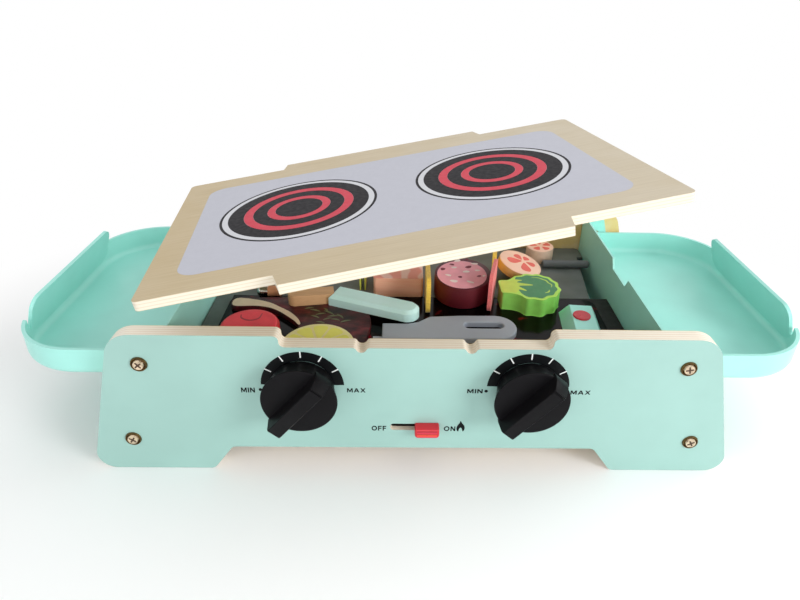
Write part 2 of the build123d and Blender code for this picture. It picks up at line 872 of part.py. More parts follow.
peg_z = deck_top_z + peg_radius
with BuildPart() as skewer_peg:
    with BuildSketch(Plane.YZ.offset(peg_left_x)):
        with Locations((peg_y, peg_z)):
            Circle(peg_radius)
    extrude(amount=peg_length)
skewer_peg.part.label = "skewer_peg"
export_step(skewer_peg.part, "parts/skewer_peg.step")

with BuildPart() as skewer_cap:
    with BuildSketch(Plane.YZ.offset(peg_left_x)):
        with Locations((peg_y, peg_z)):
            Circle(peg_radius)
    extrude(amount=-peg_cap_length)
    fillet(skewer_cap.faces().sort_by(Axis.X)[0].edges(), peg_radius * 0.7)
skewer_cap.part.label = "skewer_cap"
export_step(skewer_cap.part, "parts/skewer_cap.step")

# Salmon block

with BuildPart() as salmon:
    with BuildSketch(Plane.XY.offset(deck_top_z)) as outline:
        with Locations((salmon_left_x, salmon_front_y)):
            Rectangle(
                salmon_right_x - salmon_left_x,
                salmon_back_y - salmon_front_y,
                align=Align.MIN,
            )
        fillet(outline.vertices(), salmon_edge_radius)
    extrude(amount=salmon_thick)
salmon.part.label = "salmon"
export_step(salmon.part, "parts/salmon.step")

# Slices that stand on edge

cheese_slice_left = make_slice(
    left_slice_x, left_slice_y, 0, left_slice_length, slice_thick, left_slice_height
)
cheese_slice_left.label = "cheese_slice_left"
export_step(cheese_slice_left, "parts/cheese_slice_left.step")

cheese_slice_right = make_slice(
    right_slice_x,
    right_slice_y,
    right_slice_turn,
    right_slice_length,
    slice_thick,
    right_slice_height,
)
cheese_slice_right.label = "cheese_slice_right"
export_step(cheese_slice_right, "parts/cheese_slice_right.step")

ham_slice = make_slice(ham_x, ham_y, ham_turn, ham_length, ham_thick, ham_height)
ham_slice.label = "ham_slice"
export_step(ham_slice, "parts/ham_slice.step")

with BuildPart() as yellow_strips:
    for strip_x in (strip_left_x, strip_right_x):
        with BuildSketch(Plane.YZ.offset(strip_x)):
            with Locations((strip_y, deck_top_z)):
                Rectangle(strip_length, strip_height, align=(Align.CENTER, Align.MIN))
        extrude(amount=strip_thick / 2, both=True)
yellow_strips.part.label = "yellow_strips"
export_step(yellow_strips.part, "parts/yellow_strips.step")

# Salami, broccoli and tomato slices

salami = make_disc(salami_x, salami_y, deck_top_z, salami_radius, salami_thick, salami_edge_radius)
salami.label = "salami"
export_step(salami, "parts/salami.step")

with BuildPart() as broccoli:
    with BuildSketch(Plane.XY.offset(deck_top_z)):
        with Locations((broccoli_x, broccoli_y)):
            Circle(broccoli_core_radius)
            with PolarLocations(broccoli_bump_reach, broccoli_bump_count):
                Circle(broccoli_bump_radius)
        with Locations((broccoli_stem_left_x, broccoli_y)):
            Rectangle(
                broccoli_x - broccoli_stem_left_x,
                broccoli_stem_width,
                align=(Align.MIN, Align.CENTER),
            )
    extrude(amount=broccoli_thick)
broccoli.part.label = "broccoli"
export_step(broccoli.part, "parts/broccoli.step")

large_tomato_slice = make_disc(
    slice_big_x, slice_big_y, deck_top_z, slice_big_radius, slice_big_thick, slice_edge_radius
)
large_tomato_slice.label = "large_tomato_slice"
export_step(large_tomato_slice, "parts/large_tomato_slice.step")

small_tomato_slice = make_disc(
    slice_small_x, slice_small_y, deck_top_z, slice_small_radius, slice_small_thick, slice_edge_radius
)
small_tomato_slice.label = "small_tomato_slice"
export_step(small_tomato_slice, "parts/small_tomato_slice.step")

# Turner: slotted handle that widens to a round end, and the flat blade

with BuildPart() as turner:
    with BuildSketch(Plane.XY.offset(deck_top_z)) as outline:
        with Locations((turner_round_x, turner_round_y)):
            Circle(turner_round_radius)
        Polygon(
            *turner_back_edge,
            (turner_round_x, turner_round_y + turner_round_radius),
            (turner_round_x, turner_round_y - turner_round_radius),
            (turner_blade_right_x, turner_round_y - turner_round_radius),
            (turner_back_edge[0][0], turner_round_y - turner_round_radius),
            align=None,
        )
        with Locations((turner_slot_x, turner_slot_y)):
            SlotOverall(turner_slot_length, turner_slot_width, mode=Mode.SUBTRACT)
    extrude(amount=turner_thick)
    fillet(turner.faces().sort_by(Axis.Z)[-1].edges(), turner_edge_radius)
    with BuildSketch(Plane.XY.offset(deck_top_z)) as blade:
        with Locations((turner_blade_left_x, turner_blade_front_y)):
            Rectangle(
                turner_blade_right_x - turner_blade_left_x,
                turner_round_y - turner_round_radius - turner_blade_front_y + turner_thick,
                align=Align.MIN,
            )
        fillet(blade.vertices().group_by(Axis.Y)[0], turner_blade_radius)
    extrude(amount=turner_blade_thick)
turner.part.label = "turner"
export_step(turner.part, "parts/turner.step")

# Shaker block with sloped sides and a red button, and the grey rod

with BuildPart() as shaker_block:
    with BuildSketch(Plane(Location((block_x, block_y, deck_top_z), (0, 0, block_turn)))):
        Rectangle(block_width, block_length)
    extrude(amount=block_thick, taper=block_taper)
    fillet(shaker_block.edges().group_by(Axis.Z)[-1], 0.8)
shaker_block.part.label = "shaker_block"
export_step(shaker_block.part, "parts/shaker_block.step")

shaker_button = make_disc(
    button_x, button_y, deck_top_z + block_thick, button_radius, button_rise, button_edge_radius
)
shaker_button.label = "shaker_button"
export_step(shaker_button, "parts/shaker_button.step")

with BuildPart() as grey_rod:
    with BuildSketch(Plane.YZ.offset(rod_left_x)):
        with Locations((rod_y, deck_top_z + rod_radius)):
            Circle(rod_radius)
    extrude(amount=rod_right_x - rod_left_x)
    fillet(grey_rod.faces().sort_by(Axis.X)[-1].edges(), rod_end_radius)
    fillet(grey_rod.faces().sort_by(Axis.X)[0].edges(), rod_end_radius)
grey_rod.part.label = "grey_rod"
export_step(grey_rod.part, "parts/grey_rod.step")
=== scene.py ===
import math
import random

import bmesh
import bpy
from mathutils import Matrix, Vector


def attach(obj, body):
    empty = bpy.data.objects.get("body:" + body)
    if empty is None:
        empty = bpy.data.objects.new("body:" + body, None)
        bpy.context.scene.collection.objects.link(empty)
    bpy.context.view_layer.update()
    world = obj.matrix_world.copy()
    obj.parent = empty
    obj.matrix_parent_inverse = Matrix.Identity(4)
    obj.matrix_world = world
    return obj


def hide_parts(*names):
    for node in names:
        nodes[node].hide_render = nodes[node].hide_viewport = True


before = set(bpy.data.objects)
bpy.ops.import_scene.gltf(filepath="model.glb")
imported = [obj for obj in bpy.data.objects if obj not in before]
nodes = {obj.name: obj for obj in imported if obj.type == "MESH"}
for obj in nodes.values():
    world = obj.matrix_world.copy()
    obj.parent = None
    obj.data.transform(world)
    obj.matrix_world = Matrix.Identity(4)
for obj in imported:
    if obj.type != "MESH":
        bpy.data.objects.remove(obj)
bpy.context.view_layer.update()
MM = 0.001

# Measures in metres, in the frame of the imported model
BOARD_FACE = 0.1125
BOARD_THICK = 0.0110
PLY_START = BOARD_FACE - BOARD_THICK - 0.0005
SCREW_RISE = 0.0019
LID_THICK = 0.006
SLOT_HALF, SLOT_FLOOR, SLOT_TOP = 0.0172, 0.1086, 0.046  # painted shade deep inside the switch slot
DECK_SHADE_BACK, DECK_SHADE_LEFT = 0.0052, -0.1478  # edges of the black part of the deck, painted shade beside the window

# Measures in millimetres
KNOB_X, KNOB_Z = 73.8, 73.9
GRIP_ANGLE = 49
DIAL_OUTER, DIAL_INNER = 27.1, 20.0
DECK_TOP = 72.5
STEAK_THICK = 4.5
LEMON_TOP = 80.0
TOMATO_TOP = 84.0
SALAMI_THICK = 19.2
SLICE_THICK = 8.0
SMALL_SLICE_THICK = 13.0
BROCCOLI_THICK = 15.5
SWITCH_MIDDLE = (8.3, 39.2)
SCREW_SPOTS = ((-176.6, 90.4), (176.6, 90.4), (-192.3, 27.3), (192.3, 27.3))
SCREW_TURNS = (38, 12, 55, 28)

# Where a cloudy noise turns from its dark to its light shade
CLOUD_LOW, CLOUD_HIGH = 0.36, 0.64


# Materials

def linear(red, green, blue):
    """Screen colour from 0 to 255 as a linear colour."""
    out = []
    for value in (red, green, blue):
        value = value / 255
        out.append(value / 12.92 if value <= 0.04045 else ((value + 0.055) / 1.055) ** 2.4)
    return (*out, 1.0)


def material(name, roughness=0.5, specular=0.5, metallic=0.0, sheen=0.0):
    made = bpy.data.materials.new(name)
    made.use_nodes = True
    shader = made.node_tree.nodes["Principled BSDF"]
    shader.inputs["Roughness"].default_value = roughness
    shader.inputs["Specular IOR Level"].default_value = specular
    shader.inputs["Metallic"].default_value = metallic
    shader.inputs["Sheen Weight"].default_value = sheen
    return made, made.node_tree, shader


def place(tree, scale=(1, 1, 1), origin=None, turn=None):
    """Object coordinates in metres, in the frame of a tilted piece where one is given."""
    coordinate = tree.nodes.new("ShaderNodeTexCoord")
    out = coordinate.outputs["Object"]
    if origin is not None:
        local = tree.nodes.new("ShaderNodeMapping")
        local.vector_type = "TEXTURE"
        local.inputs["Location"].default_value = origin
        local.inputs["Rotation"].default_value = turn
        tree.links.new(out, local.inputs["Vector"])
        out = local.outputs["Vector"]
    mapping = tree.nodes.new("ShaderNodeMapping")
    mapping.inputs["Scale"].default_value = scale
    tree.links.new(out, mapping.inputs["Vector"])
    return mapping.outputs["Vector"]


def noise(tree, vector, scale, detail=3.0, rough=0.55):
    made = tree.nodes.new("ShaderNodeTexNoise")
    made.inputs["Scale"].default_value = scale
    made.inputs["Detail"].default_value = detail
    made.inputs["Roughness"].default_value = rough
    tree.links.new(vector, made.inputs["Vector"])
    return made.outputs["Fac"]


def ramp(tree, factor, stops):
    made = tree.nodes.new("ShaderNodeValToRGB")
    elements = made.color_ramp.elements
    while len(elements) < len(stops):
        elements.new(0.5)
    for element, (position, colour) in zip(elements, stops):
        element.position = position
        element.color = colour
    tree.links.new(factor, made.inputs["Fac"])
    return made.outputs["Color"]


def mix(tree, factor, first, second, blend="MIX"):
    made = tree.nodes.new("ShaderNodeMix")
    made.data_type = "RGBA"
    made.blend_type = blend
    for socket, value in (
        (made.inputs[0], factor), (made.inputs[6], first), (made.inputs[7], second),
    ):
        if isinstance(value, (float, int, tuple)):
            socket.default_value = value
        else:
            tree.links.new(value, socket)
    return made.outputs[2]


def calculate(tree, operation, first, second=None):
    made = tree.nodes.new("ShaderNodeMath")
    made.operation = operation
    for socket, value in ((made.inputs[0], first), (made.inputs[1], second)):
        if value is None:
            continue
        if isinstance(value, (float, int)):
            socket.default_value = value
        else:
            tree.links.new(value, socket)
    return made.outputs[0]


def axis(tree, vector, name):
    made = tree.nodes.new("ShaderNodeSeparateXYZ")
    tree.links.new(vector, made.inputs[0])
    return made.outputs[name]


def bump(tree, shader, height, strength, distance):
    made = tree.nodes.new("ShaderNodeBump")
    made.inputs["Strength"].default_value = strength
    made.inputs["Distance"].default_value = distance
    tree.links.new(height, made.inputs["Height"])
    tree.links.new(made.outputs["Normal"], shader.inputs["Normal"])


def remap(tree, value, start, end, low=0.0, high=1.0):
    made = tree.nodes.new("ShaderNodeMapRange")
    made.inputs["From Min"].default_value = start
    made.inputs["From Max"].default_value = end
    made.inputs["To Min"].default_value = low
    made.inputs["To Max"].default_value = high
    tree.links.new(value, made.inputs["Value"])
    return made.outputs["Result"]


def vary_roughness(tree, shader, factor, low, high):
    rough = remap(tree, factor, 0.35, 0.65, low, high)
    tree.links.new(rough, shader.inputs["Roughness"])


def shades(colour, amount):
    """A darker and a lighter neighbour of a linear colour."""
    dark = tuple(c * (1 - amount) for c in colour[:3]) + (1.0,)
    light = tuple(min(1.0, c * (1 + amount)) for c in colour[:3]) + (1.0,)
    return dark, light


def clouded(tree, cloud, colour, amount):
    """A colour that drifts between its two shades."""
    dark, light = shades(colour, amount)
    return ramp(tree, cloud, [(CLOUD_LOW, dark), (CLOUD_HIGH, light)])


def painted(name, colour, amount=0.05, low=0.34, high=0.46, grain=0.05):
    """Smooth paint with faint unevenness."""
    made, tree, shader = material(name, specular=0.45)
    vector = place(tree)
    cloud = noise(tree, vector, 22.0, 4.0)
    dark = shades(colour, amount)[0]
    base = clouded(tree, cloud, colour, amount)
    speck = noise(tree, vector, 900.0, 2.0)
    base = mix(
        tree,
        ramp(tree, speck, [(0.70, (0, 0, 0, 1)), (0.78, (0.35, 0.35, 0.35, 1))]),
        base,
        dark,
    )
    tree.links.new(base, shader.inputs["Base Color"])
    vary_roughness(tree, shader, noise(tree, vector, 60.0), low, high)
    bump(tree, shader, noise(tree, vector, 420.0, 3.0), grain, 0.0004)
    return made


def wood_colour(tree, vector, dark, light):
    """Long grain along X with finer fibres in it."""
    wide = tree.nodes.new("ShaderNodeMapping")
    wide.inputs["Scale"].default_value = (2.2, 26.0, 26.0)
    tree.links.new(vector, wide.inputs["Vector"])
    grain = noise(tree, wide.outputs["Vector"], 1.6, 5.0, 0.5)
    narrow = tree.nodes.new("ShaderNodeMapping")
    narrow.inputs["Scale"].default_value = (14.0, 420.0, 420.0)
    tree.links.new(vector, narrow.inputs["Vector"])
    fibre = noise(tree, narrow.outputs["Vector"], 1.8, 4.0, 0.6)
    base = ramp(tree, grain, [(0.34, dark), (0.66, light)])
    fibres = ramp(tree, fibre, [(0.30, (0.86, 0.84, 0.80, 1)), (0.62, (1, 1, 1, 1))])
    return mix(tree, 0.7, base, fibres, "MULTIPLY"), fibre


def two_sided(name, face_colour, side_colour, height_mm, amount):
    """A cut wooden piece, printed above a height and painted another colour below it."""
    made, tree, shader = material(name, specular=0.4)
    vector = place(tree)
    top = calculate(tree, "GREATER_THAN", axis(tree, vector, "Z"), height_mm * MM)
    cloud = noise(tree, vector, 55.0, 4.0)
    face = clouded(tree, cloud, face_colour, amount)
    side = clouded(tree, cloud, side_colour, 0.1)
    tree.links.new(mix(tree, top, side, face), shader.inputs["Base Color"])
    vary_roughness(tree, shader, noise(tree, vector, 90.0), 0.42, 0.55)
    bump(tree, shader, noise(tree, vector, 700.0, 3.0), 0.08, 0.0003)
    return made


MINT = (0.312, 0.512, 0.465, 1)
SHEET = (0.355, 0.755, 0.68, 1)


def board_material():
    """Paint on the outer face, ply layers on every edge and painted shade deep in the switch
    slot.
    """
    made, tree, shader = material("board_paint_and_ply", specular=0.45)
    vector = place(tree)
    depth = calculate(tree, "ABSOLUTE", axis(tree, vector, "Y"))
    outer = calculate(tree, "GREATER_THAN", depth, BOARD_FACE - 0.00015)
    wobble = noise(tree, place(tree, (60.0, 8.0, 60.0)), 1.0, 2.0)
    waved = calculate(tree, "ADD", depth, calculate(tree, "MULTIPLY", wobble, 0.0006))
    layer = remap(tree, waved, PLY_START, BOARD_FACE)
    cream, line = linear(244, 236, 220), linear(226, 204, 182)
    tan = linear(232, 200, 134)
    ply = ramp(
        tree,
        layer,
        [
            (0.0, tan), (0.07, tan), (0.12, cream), (0.21, cream), (0.245, line), (0.28, cream),
            (0.42, cream), (0.46, line), (0.50, cream), (0.63, cream), (0.665, line),
            (0.70, cream), (0.84, cream), (0.875, line), (0.91, cream), (1.0, cream),
        ],
    )
    edge_grain = noise(tree, place(tree, (45.0, 900.0, 45.0)), 2.4, 4.0)
    ply = mix(
        tree,
        0.25,
        ply,
        ramp(tree, edge_grain, [(0.3, (0.80, 0.76, 0.70, 1)), (0.6, (1, 1, 1, 1))]),
        "MULTIPLY",
    )
    # The dark colour deep in the switch slot is painted shade
    middle = calculate(tree, "ABSOLUTE", axis(tree, vector, "X"))
    in_width = calculate(tree, "LESS_THAN", middle, SLOT_HALF)
    in_depth = calculate(tree, "LESS_THAN", depth, SLOT_FLOOR)
    in_height = calculate(tree, "LESS_THAN", axis(tree, vector, "Z"), SLOT_TOP)
    slot_shade = calculate(tree, "MULTIPLY", in_width, in_depth)
    slot_shade = calculate(tree, "MULTIPLY", slot_shade, in_height)
    ply = mix(tree, slot_shade, ply, linear(34, 12, 10))
    paint = clouded(tree, noise(tree, vector, 16.0, 4.0), MINT, 0.035)
    tree.links.new(mix(tree, outer, ply, paint), shader.inputs["Base Color"])
    vary_roughness(tree, shader, noise(tree, vector, 70.0), 0.36, 0.5)
    bump(tree, shader, noise(tree, vector, 520.0, 3.0), 0.06, 0.0003)
    return made


LID_TURN = (math.radians(-2.27219), math.radians(-8.80347), math.radians(8.83737))
LID_PLACE = (-0.01227, -0.0217, 0.17713)


def lid_material():
    """Bare ply, darker and warmer towards the left as painted shade, with its layers on the
    edges.
    """
    made, tree, shader = material("lid_ply", specular=0.4)
    vector = place(tree, (1, 1, 1), LID_PLACE, LID_TURN)
    wood, fibre = wood_colour(tree, vector, linear(202, 189, 164), linear(205, 193, 170))
    # The wood darkens and warms towards the left: painted shade
    across = remap(tree, axis(tree, vector, "X"), -0.17, 0.12)
    left_shade = ramp(tree, across, [(0.0, (0.92, 0.84, 0.68, 1)), (1.0, (1, 1, 1, 1))])
    wood = mix(tree, 1.0, wood, left_shade, "MULTIPLY")
    layer = remap(tree, axis(tree, vector, "Z"), -LID_THICK, 0.0)
    cream, line = linear(222, 214, 196), linear(206, 188, 160)
    edge = ramp(
        tree,
        layer,
        [
            (0.0, cream), (0.28, cream), (0.33, line), (0.38, cream), (0.62, cream),
            (0.67, line), (0.72, cream), (1.0, cream),
        ],
    )
    side = ramp(
        tree,
        layer,
        [
            (0.02, (0, 0, 0, 1)), (0.05, (1, 1, 1, 1)), (0.95, (1, 1, 1, 1)),
            (0.98, (0, 0, 0, 1)),
        ],
    )
    tree.links.new(mix(tree, side, wood, edge), shader.inputs["Base Color"])
    vary_roughness(tree, shader, noise(tree, vector, 30.0), 0.42, 0.55)
    bump(tree, shader, fibre, 0.06, 0.0002)
    return made


def plain_wood(name, dark, light):
    made, tree, shader = material(name, specular=0.35)
    wood, fibre = wood_colour(tree, place(tree), dark, light)
    tree.links.new(wood, shader.inputs["Base Color"])
    vary_roughness(tree, shader, noise(tree, place(tree), 45.0), 0.5, 0.65)
    bump(tree, shader, fibre, 0.12, 0.0003)
    return made


def felt(name, colour):
    made, tree, shader = material(name, roughness=0.9, specular=0.15, sheen=0.25)
    vector = place(tree)
    fuzz = noise(tree, vector, 700.0, 5.0, 0.7)
    dark, light = shades(colour, 0.14)
    tree.links.new(ramp(tree, fuzz, [(0.32, dark), (0.66, light)]), shader.inputs["Base Color"])
    bump(tree, shader, fuzz, 0.5, 0.0005)
    return made


def metal(name, colour, low, high):
    made, tree, shader = material(name, metallic=1.0, specular=0.5)
    vector = place(tree)
    stain = noise(tree, vector, 260.0, 5.0)
    dark, light = shades(colour, 0.25)
    tree.links.new(
        ramp(tree, stain, [(0.34, dark), (0.66, light)]),
        shader.inputs["Base Color"],
    )
    vary_roughness(tree, shader, noise(tree, vector, 500.0), low, high)
    bump(tree, shader, noise(tree, vector, 1500.0), 0.1, 0.0002)
    return made


def plastic(name, colour, low, high, grain=0.12, specular=0.5):
    made, tree, shader = material(name, specular=specular)
    vector = place(tree)
    base = clouded(tree, noise(tree, vector, 80.0), colour, 0.08)
    tree.links.new(base, shader.inputs["Base Color"])
    vary_roughness(tree, shader, noise(tree, vector, 140.0), low, high)
    bump(tree, shader, noise(tree, vector, 1500.0, 2.0), grain, 0.0002)
    return made


def ember_material():
    """Black gloss panel through which a few embers glow."""
    made, tree, shader = material("ember_panel_gloss", specular=0.10)
    vector = place(tree)
    cloud = noise(tree, vector, 42.0, 3.0)
    tree.links.new(
        ramp(tree, cloud, [(0.4, (0.0012, 0.001, 0.001, 1)), (0.7, (0.006, 0.003, 0.003, 1))]),
        shader.inputs["Base Color"],
    )
    vary_roughness(tree, shader, noise(tree, vector, 12.0), 0.10, 0.16)
    glow = ramp(tree, cloud, [(0.60, (0, 0, 0, 1)), (0.74, (0.24, 0.006, 0.012, 1))])
    tree.links.new(glow, shader.inputs["Emission Color"])
    shader.inputs["Emission Strength"].default_value = 1.0
    bump(tree, shader, noise(tree, vector, 300.0), 0.02, 0.0001)
    return made


def salmon_material():
    made, tree, shader = material("salmon_print", specular=0.35)
    vector = place(tree)
    top = calculate(tree, "GREATER_THAN", axis(tree, vector, "Z"), 0.0898)
    bands = tree.nodes.new("ShaderNodeTexWave")
    bands.wave_type = "BANDS"
    bands.inputs["Scale"].default_value = 28.0
    bands.inputs["Distortion"].default_value = 5.0
    bands.inputs["Detail"].default_value = 1.0
    bands.inputs["Detail Scale"].default_value = 1.2
    tree.links.new(place(tree, (0.7, 1.2, 1.0)), bands.inputs["Vector"])
    stripe = ramp(
        tree,
        bands.outputs["Fac"],
        [(0.45, linear(244, 160, 142)), (0.75, linear(250, 206, 192))],
    )
    side = ramp(
        tree,
        noise(tree, place(tree, (60, 60, 700)), 1.0, 3.0),
        [(0.35, linear(252, 182, 152)), (0.65, linear(255, 194, 164))],
    )
    tree.links.new(mix(tree, top, side, stripe), shader.inputs["Base Color"])
    vary_roughness(tree, shader, noise(tree, vector, 90.0), 0.45, 0.6)
    bump(tree, shader, noise(tree, place(tree, (60, 60, 700)), 3.0), 0.15, 0.0003)
    return made


def steak_material():
    made, tree, shader = material("steak_print", specular=0.35)
    vector = place(tree)
    cloud = noise(tree, place(tree, (60, 130, 60)), 1.0, 5.0, 0.65)
    meat = ramp(
        tree,
        cloud,
        [(0.36, linear(36, 5, 9)), (0.52, linear(72, 13, 20)), (0.68, linear(116, 36, 44))],
    )
    tree.links.new(meat, shader.inputs["Base Color"])
    vary_roughness(tree, shader, noise(tree, vector, 90.0), 0.38, 0.5)
    bump(tree, shader, noise(tree, vector, 600.0), 0.1, 0.0003)
    return made


def deck_material():
    """Matt grey sheet whose front part, around the window, is black; beside the window this
    black is painted shade.
    """
    made, tree, shader = material("deck_print", specular=0.3)
    vector = place(tree)
    cloud = noise(tree, vector, 70.0, 4.0)
    grey = ramp(
        tree,
        cloud,
        [(CLOUD_LOW, linear(100, 107, 106)), (CLOUD_HIGH, linear(114, 120, 120))],
    )
    # Black front of the deck, beside the window: painted shade
    black = ramp(
        tree,
        cloud,
        [(CLOUD_LOW, (0.0015, 0.0012, 0.0012, 1)), (CLOUD_HIGH, (0.004, 0.003, 0.003, 1))],
    )
    front = calculate(tree, "LESS_THAN", axis(tree, vector, "Y"), DECK_SHADE_BACK)
    inside = calculate(tree, "GREATER_THAN", axis(tree, vector, "X"), DECK_SHADE_LEFT)
    front = calculate(tree, "MULTIPLY", front, inside)
    tree.links.new(mix(tree, front, grey, black), shader.inputs["Base Color"])
    vary_roughness(tree, shader, noise(tree, vector, 140.0), 0.42, 0.58)
    bump(tree, shader, noise(tree, vector, 1500.0, 2.0), 0.08, 0.0002)
    return made


board_paint = board_material()
sheet_paint = painted("tray_and_wall_paint", SHEET, 0.03, 0.30, 0.42, 0.04)
bronze = metal("bronze_screws", linear(226, 204, 176), 0.22, 0.34)
dark_bronze = metal("dark_bronze_cups", linear(104, 84, 52), 0.4, 0.55)
bare_ply = plain_wood("bare_ply", linear(206, 180, 138), linear(226, 204, 166))
grey_deck = plastic("cover_grey", linear(116, 126, 131), 0.5, 0.62)
steel = metal("peg_cap_steel", linear(196, 192, 186), 0.16, 0.28)
black_knob = plastic("knob_black", (0.0050, 0.0046, 0.0056, 1), 0.36, 0.48, 0.06, specular=0.10)
black_inside = plastic("switch_black", linear(12, 12, 12), 0.5, 0.65)
red_plastic = plastic("switch_red", linear(196, 34, 46), 0.3, 0.42)
button_red = painted("button_red", linear(208, 44, 58), 0.06, 0.25, 0.35)
yellow_felt = felt("cheese_felt", linear(238, 198, 84))
strip_felt = felt("strip_felt", linear(236, 238, 96))
pink_felt = felt("ham_felt", linear(238, 122, 122))
turquoise = painted("spreader_paint", linear(212, 255, 250), 0.04, 0.36, 0.48)
shaker_paint = painted("shaker_paint", linear(180, 252, 244), 0.04, 0.36, 0.48)
turner_paint = painted("turner_paint", linear(174, 182, 196), 0.04, 0.42, 0.55)
rod_paint = painted("rod_paint", linear(104, 108, 112), 0.06, 0.4, 0.55)
stick_wood = plain_wood("stick_wood", linear(196, 150, 106), linear(222, 180, 136))
peg_wood = plain_wood("peg_wood", linear(196, 132, 96), linear(214, 154, 112))
# The red tomato's top is a lighter red than its side: painted sheen
tomato_paint_and_sheen = two_sided(
    "red_tomato_paint_and_sheen", linear(240, 68, 82), linear(196, 36, 42), TOMATO_TOP - 0.8, 0.1,
)
lemon_print = two_sided(
    "lemon_print", linear(252, 246, 176), linear(250, 240, 214), LEMON_TOP - 0.6, 0.03,
)
salami_print = two_sided(
    "salami_print", linear(84, 18, 34), linear(94, 22, 34), SALAMI_THICK - 0.6, 0.12,
)
broccoli_print = two_sided(
    "broccoli_print", linear(186, 236, 100), linear(158, 238, 110), BROCCOLI_THICK - 0.5, 0.06,
)
slice_print = two_sided(
    "tomato_slice_print", linear(250, 206, 184), linear(240, 184, 120), SLICE_THICK - 0.6, 0.04,
)
small_slice_print = two_sided(
    "small_slice_print", linear(250, 206, 184), linear(238, 206, 184), SMALL_SLICE_THICK - 0.5,
    0.04,
)

finishes = {
    "front_board": board_paint,
    "back_board": board_paint,
    "left_wall": sheet_paint,
    "right_wall": sheet_paint,
    "left_tray": sheet_paint,
    "right_tray": sheet_paint,
    "board_screws": bronze,
    "screw_cups": dark_bronze,
    "cover_screw": steel,
    "base_board": bare_ply,
    "battery_cover": grey_deck,
    "lamp_box": black_inside,
    "deck": deck_material(),
    "ember_panel": ember_material(),
    "left_knob": black_knob,
    "right_knob": black_knob,
    "left_knob_clip": steel,
    "right_knob_clip": steel,
    "switch_slider": red_plastic,
    "switch_body": black_inside,
    "lid_board": lid_material(),
    "steak": steak_material(),
    "lemon_slice": lemon_print,
    "spreader_handle": turquoise,
    "spreader_stick": stick_wood,
    "red_tomato": tomato_paint_and_sheen,
    "skewer_peg": peg_wood,
    "skewer_cap": steel,
    "salmon": salmon_material(),
    "cheese_slice_left": yellow_felt,
    "cheese_slice_right": yellow_felt,
    "ham_slice": pink_felt,
    "yellow_strips": strip_felt,
    "salami": salami_print,
    "broccoli": broccoli_print,
    "large_tomato_slice": slice_print,
    "small_tomato_slice": small_slice_print,
    "turner": turner_paint,
    "shaker_block": shaker_paint,
    "shaker_button": button_red,
    "grey_rod": rod_paint,
}
for name, finish in finishes.items():
    mesh = nodes[name].data
    mesh.materials.clear()
    mesh.materials.append(finish)


# Frames of the printed faces, and helpers for prints and pieces

FRONT = Matrix(((1, 0, 0, 0), (0, 0, -1, -BOARD_FACE), (0, 1, 0, 0), (0, 0, 0, 1)))
LID_AXES = Matrix((
    (0.97648693, -0.14751508, -0.15720232),
    (0.15182175, 0.98828348, 0.01568197),
    (0.15304712, -0.03917997, 0.9874419),
))
LID = Matrix.LocRotScale(Vector(LID_PLACE), LID_AXES.to_quaternion(), None)


def turned(u, v, degrees, x=0.0, y=0.0):
    """A point turned about the origin, then moved to x, y."""
    c, s = math.cos(math.radians(degrees)), math.sin(math.radians(degrees))
    return x + u * c - v * s, y + u * s + v * c


def level(height_mm):
    return Matrix.Translation((0, 0, height_mm * MM))


def ink(name, colour, rough=0.45, amount=0.06, specular=0.4):
    made, tree, shader = material(name, roughness=rough, specular=specular)
    vector = place(tree)
    base = clouded(tree, noise(tree, vector, 120.0, 4.0), colour, amount)
    tree.links.new(base, shader.inputs["Base Color"])
    vary_roughness(tree, shader, noise(tree, vector, 300.0), rough - 0.05, rough + 0.08)
    bump(tree, shader, noise(tree, vector, 900.0), 0.05, 0.0001)
    return made


def add_object(name, data):
    made = bpy.data.objects.new(name, data)
    bpy.context.scene.collection.objects.link(made)
    return made


def settle(curve, name, matrix, finish, body):
    """A flat curve turned into a thin mesh that lies on a face and moves with its body."""
    bpy.context.view_layer.update()
    graph = bpy.context.evaluated_depsgraph_get()
    mesh = bpy.data.meshes.new_from_object(curve.evaluated_get(graph))
    bpy.data.objects.remove(curve)
    mesh.name = name
    mesh.materials.clear()
    mesh.materials.append(finish)
    piece = add_object(name, mesh)
    piece.matrix_world = matrix
    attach(piece, body)


def printed(name, loops, matrix, finish, body, lift=0.03, thick=0.06):
    """Filled outlines in millimetres, lifted off a face; a loop inside another is a hole."""
    data = bpy.data.curves.new(name, "CURVE")
    data.dimensions = "2D"
    data.fill_mode = "BOTH"
    data.extrude = thick / 2 * MM
    for loop in loops:
        spline = data.splines.new("POLY")
        spline.points.add(len(loop) - 1)
        spline.use_cyclic_u = True
        for point, (x, y) in zip(spline.points, loop):
            point.co = (x * MM, y * MM, 0, 1)
    curve = add_object(name, data)
    raised = matrix @ Matrix.Translation((0, 0, (lift + thick / 2) * MM))
    settle(curve, name, raised, finish, body)


